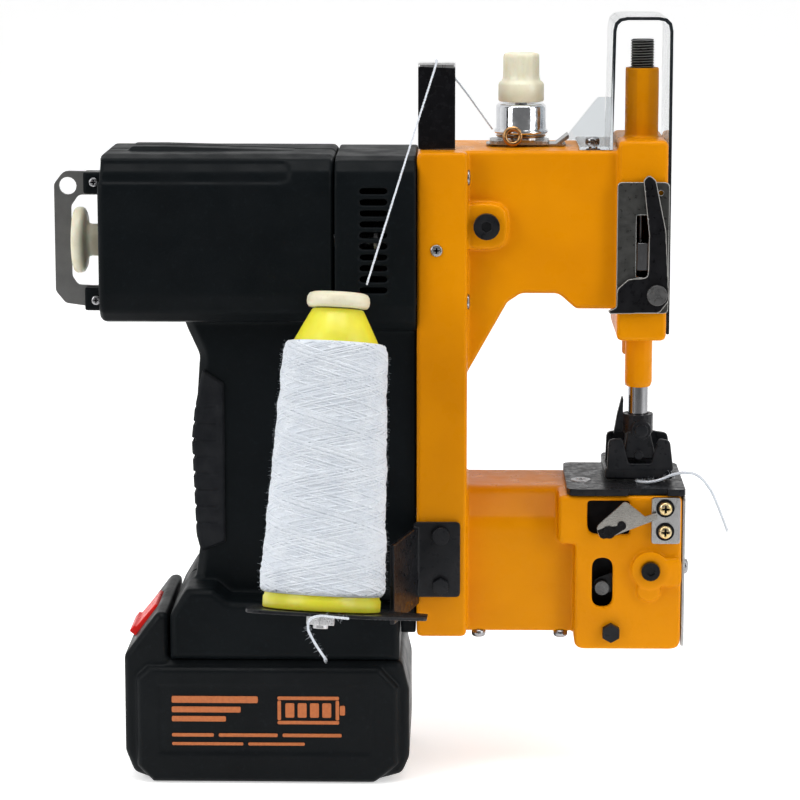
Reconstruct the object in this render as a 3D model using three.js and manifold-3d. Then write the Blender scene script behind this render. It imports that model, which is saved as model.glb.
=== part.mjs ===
// A hand-held bag closer: a battery-driven, single-thread sewing machine that stitches sacks shut.
// Millimetres, +Z up, +X from the motor to the needle, the operator's side at -Y.
// The origin is the middle of the battery's flat bottom face.
import * as THREE from "three";
import { mergeVertices } from "three/addons/utils/BufferGeometryUtils.js";
import Module from "manifold-3d";

const wasm = await Module();
wasm.setup();

// Driving dimensions
const GAP = 0.3; // between pieces that touch
const WALL = 2.5; // moulded shells
const CAST = 3; // die-cast walls
const MOTOR_Z = 218; // motor axis
const SHAFT_Z = 97; // main shaft axis
const BAR_X = 152.3; // needle bar and presser bar
const PRESSER_Y = -8;
const NEEDLE_Y = 9;
const PLATE_TOP = 121; // sewing surface
const ARM_TOP = 257;
const COLUMN = { x0: 62.3, x1: 82.5, front: -32 };
const FRONT = { arm: -24, head: -27, base: -29 };
const BACK = 24;
const BARREL = { x0: -64.5, x1: 29.4, z0: 187.5, z1: 255.5, depth: 35 };
const CASE = { x0: 29.7, x1: 62, z0: 184.5, z1: 255, depth: 36 };
const STRIP = { x0: 42, z0: 73.2, toeX: 55.9, toeZ: 60, depth: 29 }; // belt case below the barrel
const FOOT = { x0: -37.6, x1: 55.5, z0: 50.8, z1: 72, depth: 36 };
const BATTERY = { x0: -56, x1: 59.5, depth: 37.5, top: 50.5 };
const LEVER_PIVOT = { x: 90, z: 227.5 };
const LOOPER_PIVOT = { x: 156.7, z: 88 };
const LIFTER_PIVOT = { x: 157.9, z: 200.3 };
const TENSION_X = 104;
const SPOOL = { x: 26.3, y: -88, z: 85.3, backTilt: 12, sideTilt: 2.9 };
const BRACKET_BOLTS = { x: 72, round: 102.8, hex: 82 }; // heights of the spool bracket's bolts
const KNIFE_SCREWS = { x: 162.4, upper: 113.7, lower: 104.1 };
const KNIFE_PIVOT = { x: 139.8, z: 104.2 };
const ADJUST_BOLT = { x: 141.1, z: 61.8 };
const SCREEN_SCREW_X = 133; // finger guard's screw on top of the arm
const BUTTON_SEAT = { x: -49.9, z: 61.3, slope: 50 }; // release button on the battery's rear shoulder
const THROUGH = 40; // past either face, for holes along Y
const DEG = Math.PI / 180;

// Materials
const finish = (color, roughness, metalness, extra = {}) => ({ color, roughness, metalness, ...extra });
const FINISH = {
  yellow: finish("#e0930f", 0.4, 0.1),
  black: finish("#15181b", 0.6, 0),
  rubber: finish("#1a1c1f", 0.85, 0),
  cream: finish("#ded7b8", 0.45, 0),
  steel: finish("#8f9296", 0.35, 0.9),
  chrome: finish("#d8dadd", 0.12, 1),
  blackSteel: finish("#1b1c1e", 0.4, 0.6),
  brass: finish("#b98a3c", 0.35, 0.9),
  clear: finish("#dfe6ea", 0.08, 0, { transparent: true, opacity: 0.3 }),
  cone: finish("#cdc832", 0.5, 0),
  thread: finish("#e6e8ec", 0.95, 0),
  red: finish("#c3202a", 0.5, 0),
  cell: finish("#3f7fae", 0.5, 0.1),
};

const machine = new THREE.Group();

// Geometry helpers: each gives a closed solid

function solid(geometry, matrix) {
  const bare = (geometry.index ? geometry.toNonIndexed() : geometry.clone())
    .deleteAttribute("normal")
    .deleteAttribute("uv");
  if (matrix) bare.applyMatrix4(matrix);
  const merged = mergeVertices(bare, 1e-4);
  const made = new wasm.Manifold(
    new wasm.Mesh({
      numProp: 3,
      vertProperties: merged.attributes.position.array,
      triVerts: new Uint32Array(merged.index.array),
    }),
  );
  if (made.volume() > 0) return made;
  const flipped = merged.index.array.slice();
  for (let i = 0; i < flipped.length; i += 3) {
    [flipped[i + 1], flipped[i + 2]] = [flipped[i + 2], flipped[i + 1]];
  }
  return new wasm.Manifold(
    new wasm.Mesh({
      numProp: 3,
      vertProperties: merged.attributes.position.array,
      triVerts: new Uint32Array(flipped),
    }),
  );
}

const join = (...solids) => solids.reduce((a, b) => a.add(b));
const cut = (body, ...tools) => tools.reduce((a, b) => a.subtract(b), body);

function block(x0, x1, y0, y1, z0, z1) {
  const centre = new THREE.Matrix4().makeTranslation((x0 + x1) / 2, (y0 + y1) / 2, (z0 + z1) / 2);
  return solid(new THREE.BoxGeometry(x1 - x0, y1 - y0, z1 - z0), centre);
}

// Matrices that lay an extrusion's XY outline in another plane and its depth along the third axis
const ALONG_X = new THREE.Matrix4().makeBasis(
  new THREE.Vector3(0, 1, 0),
  new THREE.Vector3(0, 0, 1),
  new THREE.Vector3(1, 0, 0),
);
const ALONG_Y = new THREE.Matrix4().makeRotationX(Math.PI / 2);

// Matrices that turn a cylinder's Y axis to X or Z
const TO_X = new THREE.Matrix4().makeRotationZ(-Math.PI / 2);
const TO_Z = new THREE.Matrix4().makeRotationX(Math.PI / 2);

// A round bar along an axis; a and b place it on the other two axes, in alphabetical order

function rod(axis, a, b, from, to, radius, sides = 20, endRadius = radius) {
  const geometry = new THREE.CylinderGeometry(endRadius, radius, to - from, sides);
  geometry.translate(0, (from + to) / 2, 0);
  const spot = new THREE.Matrix4();
  if (axis === "x") spot.makeTranslation(0, a, b).multiply(TO_X);
  if (axis === "y") spot.makeTranslation(a, 0, b);
  if (axis === "z") spot.makeTranslation(a, b, 0).multiply(TO_Z);
  return solid(geometry, spot);
}

// An outline through [u, v, corner radius] points
function outline(points) {
  const shape = new THREE.Shape();
  const count = points.length;
  points.forEach(([u, v, radius = 0], i) => {
    const here = new THREE.Vector2(u, v);
    const before = new THREE.Vector2(...points[(i + count - 1) % count].slice(0, 2));
    const after = new THREE.Vector2(...points[(i + 1) % count].slice(0, 2));
    const toBefore = before.sub(here).normalize();
    const toAfter = after.sub(here).normalize();
    const halfAngle = Math.acos(THREE.MathUtils.clamp(toBefore.dot(toAfter), -1, 1)) / 2;
    const reach = radius / Math.tan(halfAngle);
    const start = here.clone().addScaledVector(toBefore, reach);
    const end = here.clone().addScaledVector(toAfter, reach);
    if (i === 0) shape.moveTo(start.x, start.y);
    else shape.lineTo(start.x, start.y);
    if (radius > 0) shape.quadraticCurveTo(here.x, here.y, end.x, end.y);
  });
  shape.closePath();
  return shape;
}

const rectangle = (u0, u1, v0, v1, r) =>
  outline([[u0, v0, r], [u1, v0, r], [u1, v1, r], [u0, v1, r]]);

function extrude(shape, depth, bevel, curve) {
  return new THREE.ExtrudeGeometry(shape, {
    depth: depth - 2 * bevel,
    curveSegments: curve,
    bevelEnabled: bevel > 0,
    bevelThickness: bevel,
    bevelSize: bevel,
    bevelOffset: -bevel,
    bevelSegments: 1,
  }).translate(0, 0, bevel);
}

// The outline is in X and Z, and the plate runs from y0 to y1
function plateY(shape, y0, y1, bevel = 0, curve = 3) {
  return solid(extrude(shape, y1 - y0, bevel, curve).applyMatrix4(ALONG_Y).translate(0, y1, 0));
}

// The outline is in Y and Z, and the bar runs from x0 to x1
function barX(shape, x0, x1, bevel = 0, curve = 3) {
  return solid(extrude(shape, x1 - x0, bevel, curve).applyMatrix4(ALONG_X).translate(x0, 0, 0));
}

// The outline is in X and Y, and the plate runs from z0 to z1
function plateZ(shape, z0, z1, bevel = 0, curve = 3) {
  return solid(extrude(shape, z1 - z0, bevel, curve).translate(0, 0, z0));
}

// A turned piece about Z at (x, y), from [radius, z] points that start and end on the axis
function turned(profile, x = 0, y = 0, sides = 24) {
  const points = profile.map(([r, z]) => new THREE.Vector2(r, z));
  const upright = new THREE.Matrix4().makeTranslation(x, y, 0).multiply(TO_Z);
  return solid(new THREE.LatheGeometry(points, sides), upright);
}

// A round cord through a list of points
function cord(points, radius, sides = 8, steps = 40) {
  const section = new THREE.Shape();
  for (let i = 0; i < sides; i += 1) {
    const angle = (2 * Math.PI * i) / sides;
    const at = [radius * Math.cos(angle), radius * Math.sin(angle)];
    if (i === 0) section.moveTo(...at);
    else section.lineTo(...at);
  }
  section.closePath();
  const path = new THREE.CatmullRomCurve3(points.map((p) => new THREE.Vector3(...p)));
  return solid(new THREE.ExtrudeGeometry(section, { steps, extrudePath: path, bevelEnabled: false }));
}

function stadium(x, z, width, height) {
  return rectangle(x - width / 2, x + width / 2, z - height / 2, z + height / 2, width / 2 - 0.01);
}

function node(name, body, look, parent = machine) {
  const data = body.getMesh();
  const geometry = new THREE.BufferGeometry();
  const positions = new Float32Array(data.numVert * 3);
  for (let i = 0; i < data.numVert; i += 1) {
    positions.set(data.vertProperties.subarray(i * data.numProp, i * data.numProp + 3), i * 3);
  }
  geometry.setAttribute("position", new THREE.BufferAttribute(positions, 3));
  geometry.setIndex(new THREE.BufferAttribute(data.triVerts, 1));
  geometry.computeVertexNormals();
  const mesh = new THREE.Mesh(geometry, new THREE.MeshStandardMaterial(look));
  mesh.name = name;
  parent.add(mesh);
  return mesh;
}

// Motor barrel, handle and battery foot, as one form drawn in by `inset`

function barrelForm(inset) {
  const section = rectangle(
    -BARREL.depth + inset, BARREL.depth - inset, BARREL.z0 + inset, BARREL.z1 - inset, 13 - inset);
  return barX(section, BARREL.x0 + inset, BARREL.x1 + (inset > 0 ? 5 : 0), inset > 0 ? 0 : 1.5, 3);
}

function handleForm(inset) {
  const grip = outline([
    [-33 + inset, 190 - inset, 0],
    [-31 + inset, 184 - inset, 6],
    [-26 + inset, 173, 6],
    [-28.5 + inset, 139, 20],
    [-26 + inset, 99, 20],
    [-29 + inset, 78, 8],
    [-36 + inset, 64, 0],
    [22 - inset, 64, 0],
    [11 - inset, 84, 10],
    [9 - inset, 140, 20],
    [12.5 - inset, 172, 12],
    [24 - inset, 190 - inset, 0],
  ]);
  return plateY(grip, -18 + inset, 18 - inset, inset > 0 ? 2 : 3.5, 2);
}

function footForm(inset) {
  const side = outline([
    [FOOT.x0 + inset, FOOT.z0 - (inset > 0 ? 2 : 0), 0],
    [FOOT.x0 + inset, 69 - inset, 2],
    [-31 + inset, 80 - inset, 3],
    [-20, 80 - inset, 2],
    [-14, FOOT.z1 + 3 - inset, 3],
    [FOOT.x1 - inset, FOOT.z1 - inset, 4],
    [FOOT.x1 - inset, FOOT.z0 - (inset > 0 ? 2 : 0), 0],
  ]);
  return plateY(side, -FOOT.depth + inset, FOOT.depth - inset, 2, 2);
}

const housingForm = (inset) => join(barrelForm(inset), handleForm(inset), footForm(inset));

const RAIL_HALF = 26; // half-width of the battery tongue's way in
// Long shallow panel sunk in the barrel's side, below the top edge
function sunkPanel() {
  const shape = outline([[-80, 244.6, 0], [12.4, 244.6, 4.4], [12.4, 253.6, 4.4], [-80, 253.6, 0]]);
  return cut(plateY(shape, -40, -20), barrelForm(0.9));
}

function motorShells() {
  const crest = outline([[-55, 254, 0], [-53.5, 257.2, 0], [-40, 257.2, 0], [12, 255.8, 0], [12, 254, 0]]);
  const hollow = cut(
    join(housingForm(0), plateY(crest, -10, 10)),
    sunkPanel(),
    sunkPanel().mirror([0, 1, 0]),
    housingForm(WALL),
    rod("x", 0, MOTOR_Z, BARREL.x0 - 5, BARREL.x0 + 5, 4.2, 16),
    block(FOOT.x0 - 5, FOOT.x1 - 10, -RAIL_HALF, RAIL_HALF, FOOT.z0 - 5, 66),
    block(6, 26, -8.4, 8.4, 151.4, 174.6),
  );
  // Ledges that the battery's tongue slides on
  const ledge = block(FOOT.x0 + 3, FOOT.x1 - 7, 22.4, FOOT.depth - 1.5, 53.2, 57.5);
  // Lugs that clamp the hanger plate at the barrel's rear
  const lug = (z0, z1) => block(-73.7, BARREL.x0 + 1, -5, 5, z0, z1);
  const slit = block(-80, BARREL.x0 - GAP, -1.3, 1.3, 180, 255);
  const wheelRoom = rod("x", 0, MOTOR_Z, -80, BARREL.x0 - 0.5, 17, 20);
  const lugs = cut(join(lug(237.2, 246.1), lug(189.3, 198.8)), slit, wheelRoom);
  const whole = join(hollow, lugs, ledge, ledge.mirror([0, 1, 0]));
  const front = whole.intersect(block(-100, 100, -60, -GAP / 2, 0, 300));
  const back = whole.intersect(block(-100, 100, GAP / 2, 60, 0, 300));
  node("motor_shell_front", front, FINISH.black);
  node("motor_shell_back", back, FINISH.black);
}

// Rubber pad set over the handle's rear, with finger grooves
const GROOVES = 8;
function gripOvermold() {
  const outer = outline([
    [-24.6, 168, 1], [-28.1, 151, 0], [-29.4, 139, 10], [-27.9, 99, 10], [-26, 92, 1], [-15.8, 96, 1],
    [-15.8, 162, 1],
  ]);
  let pad = plateY(outer, -19.6, 19.6, 1, 2);
  pad = cut(pad, handleForm(-GAP));
  for (let i = 0; i < GROOVES; i += 1) {
    const z = 104 + i * 6.9;
    const side = block(-40, -18.5, 19, 25, z - 0.6, z + 0.6);
    pad = cut(pad, block(-40, -27.5, -25, 25, z - 0.8, z + 0.8), side, side.mirror([0, 1, 0]));
  }
  node("grip_overmold", pad, FINISH.rubber);
}

// Belt case: the upper end of the motor barrel and the strip down to the main shaft
function beltCaseForm(inset) {
  const upper = rectangle(
    -CASE.depth + inset, CASE.depth - inset, CASE.z0 + inset, CASE.z1 - inset, 12 - inset);
  const half = STRIP.depth - inset;
  const strip = rectangle(-half, half, STRIP.z0 + inset, 200, 4 - inset / 2);
  const toe = rectangle(-half, half, STRIP.toeZ + inset, 200, 4 - inset / 2);
  const open = inset > 0 ? 5 : 0;
  return join(
    barX(upper, CASE.x0 + inset, CASE.x1 + open, 0, 3),
    barX(strip, STRIP.x0 + inset, CASE.x1 + open, 0, 2),
    barX(toe, STRIP.toeX + inset, CASE.x1 + open, 0, 2),
  );
}

const SLOTS = 10;
function beltCase() {
  let shell = cut(
    beltCaseForm(0),
    beltCaseForm(WALL),
    rod("x", 0, MOTOR_Z, CASE.x0 - 5, CASE.x0 + 5, 5, 16),
  );
  for (let i = 0; i < SLOTS; i += 1) {
    const z = 202.5 + (i * 39.5) / (SLOTS - 1);
    shell = cut(shell, block(39.5, 50.7, -CASE.depth - 2, -CASE.depth + 5, z - 1.15, z + 1.15));
  }
  node("belt_case", shell, FINISH.black);
}

// Hanger plate and handwheel at the rear of the barrel
function hanger() {
  const loop = outline([
    [-65.8, 246, 1], [-82, 246.3, 4], [-86, 241, 3], [-86, 197, 3], [-82, 192, 3], [-65.8, 189.8, 1],
    [-65.8, 199, 1], [-77, 199.5, 3], [-79.2, 203, 3], [-79.2, 232, 3], [-76, 236.6, 3], [-65.8, 236.6, 1],
  ]);
  const plate = cut(
    plateY(loop, -1, 1, 0, 3),
    rod("y", -80.4, 240.2, -5, 5, 3.6, 16),
  );
  node("hanger_bracket", plate, FINISH.steel);
}

function handwheel() {
  const wheel = turned([
    [0, 0], [13.5, 0], [13.5, 2.2], [11.5, 3.4], [11.5, 4.6], [7, 5.6], [6.7, 11.5], [0, 11.5],
  ]).transform(matrixOf([0, 0, 0], [0, 90, 0])).translate([-78.2, 0, MOTOR_Z]);
  const bore = rod("x", 0, MOTOR_Z, -70, -60, 2.6 + GAP, 12);
  node("handwheel", cut(wheel, bore), FINISH.cream);
}

// A manifold transform from a place and turns in degrees
function matrixOf(place, turns) {
  const spin = new THREE.Euler(turns[0] * DEG, turns[1] * DEG, turns[2] * DEG);
  const matrix = new THREE.Matrix4().makeRotationFromEuler(spin);
  matrix.setPosition(...place);
  return matrix.elements;
}

// Motor, belt drive and main shaft
const ECCENTRIC = 3.8; // throw
const PULLEY_X = { from: 46, to: 54 };
const PULLEY_R = { motor: 8, shaft: 18 };
function drive() {
  const can = cut(
    rod("x", 0, MOTOR_Z, -57, -6, 21.5, 24),
    rod("x", 0, MOTOR_Z, -70, 10, 3, 12),
  );
  node("motor_can", can, FINISH.steel);
  const shaft = rod("x", 0, MOTOR_Z, -69.6, PULLEY_X.to + 2, 2.6, 12);
  node("motor_shaft", shaft, FINISH.steel);
  const shaftRoom = rod("x", 0, MOTOR_Z, -20, 70, 2.6 + GAP, 12);
  let fan = rod("x", 0, MOTOR_Z, 4, 12, 6, 12);
  for (let i = 0; i < 6; i += 1) {
    const blade = block(4.5, 11.5, -0.9, 0.9, 4, 22).transform(matrixOf([0, 0, 0], [i * 60, 0, 0]));
    fan = join(fan, blade.translate([0, 0, MOTOR_Z]));
  }
  node("cooling_fan", cut(fan, shaftRoom), FINISH.black);

  // Flanged pulleys: the belt runs between the flanges
  const pulley = (radius, z, boreRadius) => {
    const { from, to } = PULLEY_X;
    const body = join(
      rod("x", 0, z, from - 1.5, to + 1.5, radius, 16),
      rod("x", 0, z, from - 1.5, from, radius + 1.5, 16),
      rod("x", 0, z, to, to + 1.5, radius + 1.5, 16),
    );
    return cut(body, rod("x", 0, z, from - 5, to + 5, boreRadius, 12));
  };
  node("motor_pulley", pulley(PULLEY_R.motor, MOTOR_Z, 2.6 + GAP), FINISH.steel);
  node("shaft_pulley", pulley(PULLEY_R.shaft, SHAFT_Z, 4 + GAP), FINISH.steel);

  const loop = (grow) => {
    const arcs = new THREE.Shape();
    const spread = MOTOR_Z - SHAFT_Z;
    const lean = Math.asin((PULLEY_R.shaft - PULLEY_R.motor) / spread);
    arcs.absarc(0, MOTOR_Z, PULLEY_R.motor + grow, lean, Math.PI - lean, false);
    arcs.absarc(0, SHAFT_Z, PULLEY_R.shaft + grow, Math.PI - lean, 2 * Math.PI + lean, false);
    arcs.closePath();
    return arcs;
  };
  const beltX = [PULLEY_X.from + GAP, PULLEY_X.to - GAP];
  const belt = cut(barX(loop(2.2), ...beltX, 0, 8), barX(loop(0.6), beltX[0] - 1, beltX[1] + 1, 0, 8));
  node("drive_belt", belt, FINISH.rubber);

  // Main shaft with the eccentric that drives the needle lever, and a counterweight
  const main = join(
    rod("x", 0, SHAFT_Z, STRIP.x0 + WALL + 0.8, 134, 4, 12),
    rod("x", ECCENTRIC, SHAFT_Z, 69, 76, 7, 16),
    rod("x", -3, SHAFT_Z, 100, 106, 9, 16),
  );
  node("main_shaft", main, FINISH.steel);
  const bearing = (x0, x1) =>
    cut(rod("x", 0, SHAFT_Z, x0, x1, 9.5, 16), rod("x", 0, SHAFT_Z, x0 - 1, x1 + 1, 4 + GAP, 12));
  node("shaft_bearing_left", bearing(60.8, 66.4), FINISH.steel);
  node("shaft_bearing_right", bearing(122.8, 129.2), FINISH.steel);
}

// Needle drive: connecting rod, rocking lever, needle bar
const ROD_X = { from: 70.2, to: 74.8 };
const LEVER_REST = 13; // degrees that the lever's needle end stands above level
const ROCK_PIN = 17; // from the lever's pivot to the connecting rod's pin
const LEVER_REACH = 68.2; // from the lever's pivot to the end of its fork
function needleDrive() {
  const { x: px, z: pz } = LEVER_PIVOT;
  const lever = outline([
    [-ROCK_PIN - 5, -5, 4], [-6, -8.5, 3], [6, -8.5, 3], [40, -6, 3], [LEVER_REACH, -5.5, 1],
    [LEVER_REACH, 5.5, 1], [40, 5, 3], [6, 8.5, 3], [-6, 8.5, 3], [-ROCK_PIN - 5, 5, 4],
  ]);
  const forkDepth = 11.2;
  const body = cut(
    plateY(lever, -2.5, 2.5, 0, 2),
    rod("y", 0, 0, -9, 9, 3 + GAP, 14),
    block(LEVER_REACH - forkDepth, LEVER_REACH + 6, -6, 6, -2.6, 2.6),
  );
  const pin = rod("y", -ROCK_PIN, 0, -6, 6, 2, 12);
  const placed = join(body, pin).transform(matrixOf([px, 0, pz], [0, -LEVER_REST, 0]));
  node("needle_lever", placed, FINISH.steel);

  const bolt = join(
    rod("y", px, pz, -32.5, -29.4, 5.3, 18),
    rod("y", px, pz, -30, BACK - 1, 2.85, 14),
  );
  const socket = rod("y", px, pz, -34, -31, 2.4, 6);
  node("lever_pivot_bolt", cut(bolt, socket), FINISH.blackSteel);

  // The rod's upper eyes sit either side of the lever on its pin, and its lower ring goes round the eccentric
  const pinX = px - ROCK_PIN * Math.cos(LEVER_REST * DEG);
  const pinZ = pz - ROCK_PIN * Math.sin(LEVER_REST * DEG);
  const eye = (y0, y1) =>
    cut(rod("y", pinX, pinZ, y0, y1, 5, 16), rod("y", pinX, pinZ, y0 - 1, y1 + 1, 2.9, 14));
  const stem = block(ROD_X.from, ROD_X.to, 2.9, 5.8, SHAFT_Z + 20, pinZ - 3.6);
  const ring = cut(
    rod("x", 0, SHAFT_Z, ROD_X.from, ROD_X.to, 21.6, 20),
    rod("x", 0, SHAFT_Z, ROD_X.from - 1, ROD_X.to + 1, 18.7, 20),
  );
  node("connecting_rod", join(eye(2.9, 5.8), stem, ring), FINISH.steel);

  const pinRest = pz + (BAR_X - px) * Math.tan(LEVER_REST * DEG);
  const bar = join(
    rod("z", BAR_X, NEEDLE_Y, 162, 272, 3.6, 14),
    rod("z", BAR_X, NEEDLE_Y, pinRest - 4, pinRest + 4, 5, 16),
    rod("y", BAR_X, pinRest, -1.5, NEEDLE_Y - 2, 2.1, 12),
    rod("z", BAR_X, NEEDLE_Y, 157, 165, 4.6, 14),
  );
  node("needle_bar", cut(bar, rod("z", BAR_X, NEEDLE_Y, 150, 162, 1 + GAP, 10)), FINISH.chrome);
  const needle = turned([[0, 127], [0.8, 133], [1, 148], [1, 161.6], [0, 161.6]], BAR_X, NEEDLE_Y, 8);
  node("needle", needle, FINISH.chrome);
}

// Die-cast frame: column, arm, head and base in the shape of a C, open at the back
const THROAT = [
  [145, 193.5, 0], [126, 193.5, 3], [119, 199.7, 5], [104, 199.7, 4], [98.5, 196, 3], [82.3, 167, 3],
];
function castFrame() {
  const column = plateY(
    rectangle(COLUMN.x0, COLUMN.x1, 60, ARM_TOP, 2), COLUMN.front, BACK, 1, 2);
  const arm = plateY(
    outline([[78, ARM_TOP, 0], [145, ARM_TOP, 0], ...THROAT, [78, 160, 0]]), FRONT.arm, BACK, 1, 3);
  const head = plateY(rectangle(142.3, 162, 181, 261.3, 2), FRONT.head, BACK, 1, 2);
  const pivotBoss = plateY(
    rectangle(78, 98.5, 218, 236.5, 7), -29, FRONT.arm + 2, 0.8, 3);
  const baseSection = outline([
    [BACK, 60, 1], [BACK, 118, 1], [-11, 118, 8], [-22.5, 106, 8], [-22.5, 60, 2],
  ]);
  const lowerArm = barX(baseSection, 79, 128, 0, 4);
  const baseUpper = plateY(rectangle(119.5, 169.4, 98, 118, 2), FRONT.base, BACK, 1, 2);
  const baseLower = plateY(rectangle(126.2, 169.4, 54.3, 112, 4), FRONT.base, BACK, 1, 3);
  const looperBoss = rod("y", LOOPER_PIVOT.x, LOOPER_PIVOT.z, -32, -28, 7.8, 16, 7.4);
  const sideBoss = plateY(rectangle(158, 169.4, 81.3, 93, 2), -31.6, -28, 0.6, 2);
  const lowerLobe = rod("y", LOOPER_PIVOT.x - 0.5, 79.5, -31, -28, 4.8, 16, 4.6);
  const presserTube = rod("z", BAR_X, PRESSER_Y, 259, 289.3, 6.8, 18);
  const presserNose = join(
    rod("z", BAR_X, PRESSER_Y, 161.2, 183, 5.6, 16),
    rod("z", BAR_X, PRESSER_Y, 159.4, 161.3, 4.9, 16, 5.6),
  );
  const needleNose = rod("z", BAR_X, NEEDLE_Y, 170, 183, 6, 14);
  const outer = join(
    column, arm, head, pivotBoss, lowerArm, baseUpper, baseLower,
    looperBoss, sideBoss, lowerLobe, presserTube, presserNose, needleNose,
  );
  node("body_casting", cut(outer, ...castHollows(), ...castHoles()), FINISH.yellow);
}

const BEYOND = 60; // past the open back
function castHollows() {
  const roomX = [COLUMN.x0 + CAST, COLUMN.x1 - CAST];
  return [
    block(...roomX, COLUMN.front + CAST, BEYOND, 63, ARM_TOP - CAST),
    plateY(
      outline([
        [78, ARM_TOP - CAST, 0], [141, ARM_TOP - CAST, 2], [141, 196.7, 2], [127.5, 196.7, 2],
        [121, 202.8, 4], [103, 202.8, 4], [96, 198.5, 3], [79, 168, 0],
      ]), FRONT.arm + CAST, BEYOND, 0, 2),
    block(139, 159, FRONT.arm + CAST, BEYOND, 203, 249.5),
    barX(outline([
      [BEYOND, 63, 0], [BEYOND, 114.8, 0], [-9.6, 114.8, 6], [-19.3, 104.5, 6], [-19.3, 63, 0],
    ]), 78, 122.6, 0, 3),
    block(129.5, 166.4, FRONT.base + CAST, BEYOND, 57.4, 115),
  ];
}

function castHoles() {
  const { x: px, z: pz } = LEVER_PIVOT;
  const cutterWindow = outline([[131.2, 102, 4], [148.3, 102, 1], [148.3, 116, 1], [131.2, 116, 1]]);
  return [
    rod("z", BAR_X, PRESSER_Y, 150, 210, 4.3, 14),
    rod("z", BAR_X, PRESSER_Y, 240, 300, 5.3, 14),
    rod("z", BAR_X, NEEDLE_Y, 150, 280, 3.9, 14),
    rod("y", px, pz, -THROUGH, -15, 3.15, 14),
    rod("x", 0, SHAFT_Z, 50, 70, 9.5 + GAP, 16),
    rod("x", 0, SHAFT_Z, 118, 132, 9.5 + GAP, 16),
    block(138, 166.6, -14, BEYOND, 110, 125),
    plateY(cutterWindow, -THROUGH, -20, 0, 3),
    plateY(stadium(137.5, 82.2, 8.4, 20.6), -THROUGH, -20, 0, 4),
    plateY(stadium(BAR_X, 219.5, 5.4, 27), -THROUGH, -15, 0, 4),
    rod("y", LOOPER_PIVOT.x, LOOPER_PIVOT.z, -THROUGH, -20, 3.5, 16),
    rod("y", ADJUST_BOLT.x, ADJUST_BOLT.z, -THROUGH, -20, 1.8, 10),
    rod("y", KNIFE_SCREWS.x, KNIFE_SCREWS.upper, -THROUGH, -22, 1.3, 8),
    rod("y", KNIFE_SCREWS.x, KNIFE_SCREWS.lower, -THROUGH, -22, 1.3, 8),
    rod("y", BRACKET_BOLTS.x, BRACKET_BOLTS.round, -THROUGH, -22, 1.8, 8),
    rod("y", BRACKET_BOLTS.x, BRACKET_BOLTS.hex, -THROUGH, -22, 1.8, 8),
    rod("z", TENSION_X, 0, 250, 260, 2.8, 12),
  ];
}

// Cover over the open back of the frame
function rearCover() {
  const upper = outline([
    [63.5, 62, 2], [81.3, 62, 2], [81.3, 170, 3], [97.5, 198, 4], [119.5, 201, 5], [127, 194.8, 3],
    [143.5, 194.8, 1], [143.5, 182.2, 2], [160.8, 182.2, 2], [160.8, 255.8, 3], [63.5, 255.8, 2],
  ]);
  const lower = outline([
    [79, 61.2, 1], [127.4, 61.2, 1], [127.4, 55.5, 2], [168.2, 55.5, 3], [168.2, 116.8, 2], [79, 116.8, 1],
  ]);
  const sheet = [BACK + GAP, BACK + GAP + 2.2];
  const cover = join(plateY(upper, ...sheet, 0.6, 3), plateY(lower, ...sheet, 0.6, 3));
  node("rear_cover", cover, FINISH.yellow);
}

// Presser bar, spring, adjusting screw and foot
function presser() {
  const bar = join(
    rod("z", BAR_X, PRESSER_Y, 133, 246, 4, 16),
    block(BAR_X - 2.3, BAR_X + 2.3, -26.5, PRESSER_Y, 209.5, 220.5),
  );
  node("presser_bar", bar, FINISH.chrome);

  const coils = [];
  const turns = 5;
  const stepsPerTurn = 6;
  for (let i = 0; i <= turns * stepsPerTurn; i += 1) {
    const angle = (2 * Math.PI * i) / stepsPerTurn;
    const z = 248 + (i * 31) / (turns * stepsPerTurn);
    coils.push([BAR_X + 4 * Math.cos(angle), PRESSER_Y + 4 * Math.sin(angle), z]);
  }
  node("presser_spring", cord(coils, 0.6, 5, 36), FINISH.steel);

  const screw = [[0, 281], [4.3, 281]];
  const threads = 6;
  for (let i = 0; i < threads; i += 1) {
    const z = 289.8 + i * 1.65;
    screw.push([4.3, z], [4.9, z + 0.82]);
  }
  screw.push([4.3, 300], [3.6, 300.6], [0, 300.6]);
  const slot = block(BAR_X - 0.6, BAR_X + 0.6, -20, 10, 299, 302);
  node("pressure_screw", cut(turned(screw, BAR_X, PRESSER_Y, 12), slot), FINISH.blackSteel);
}

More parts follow.
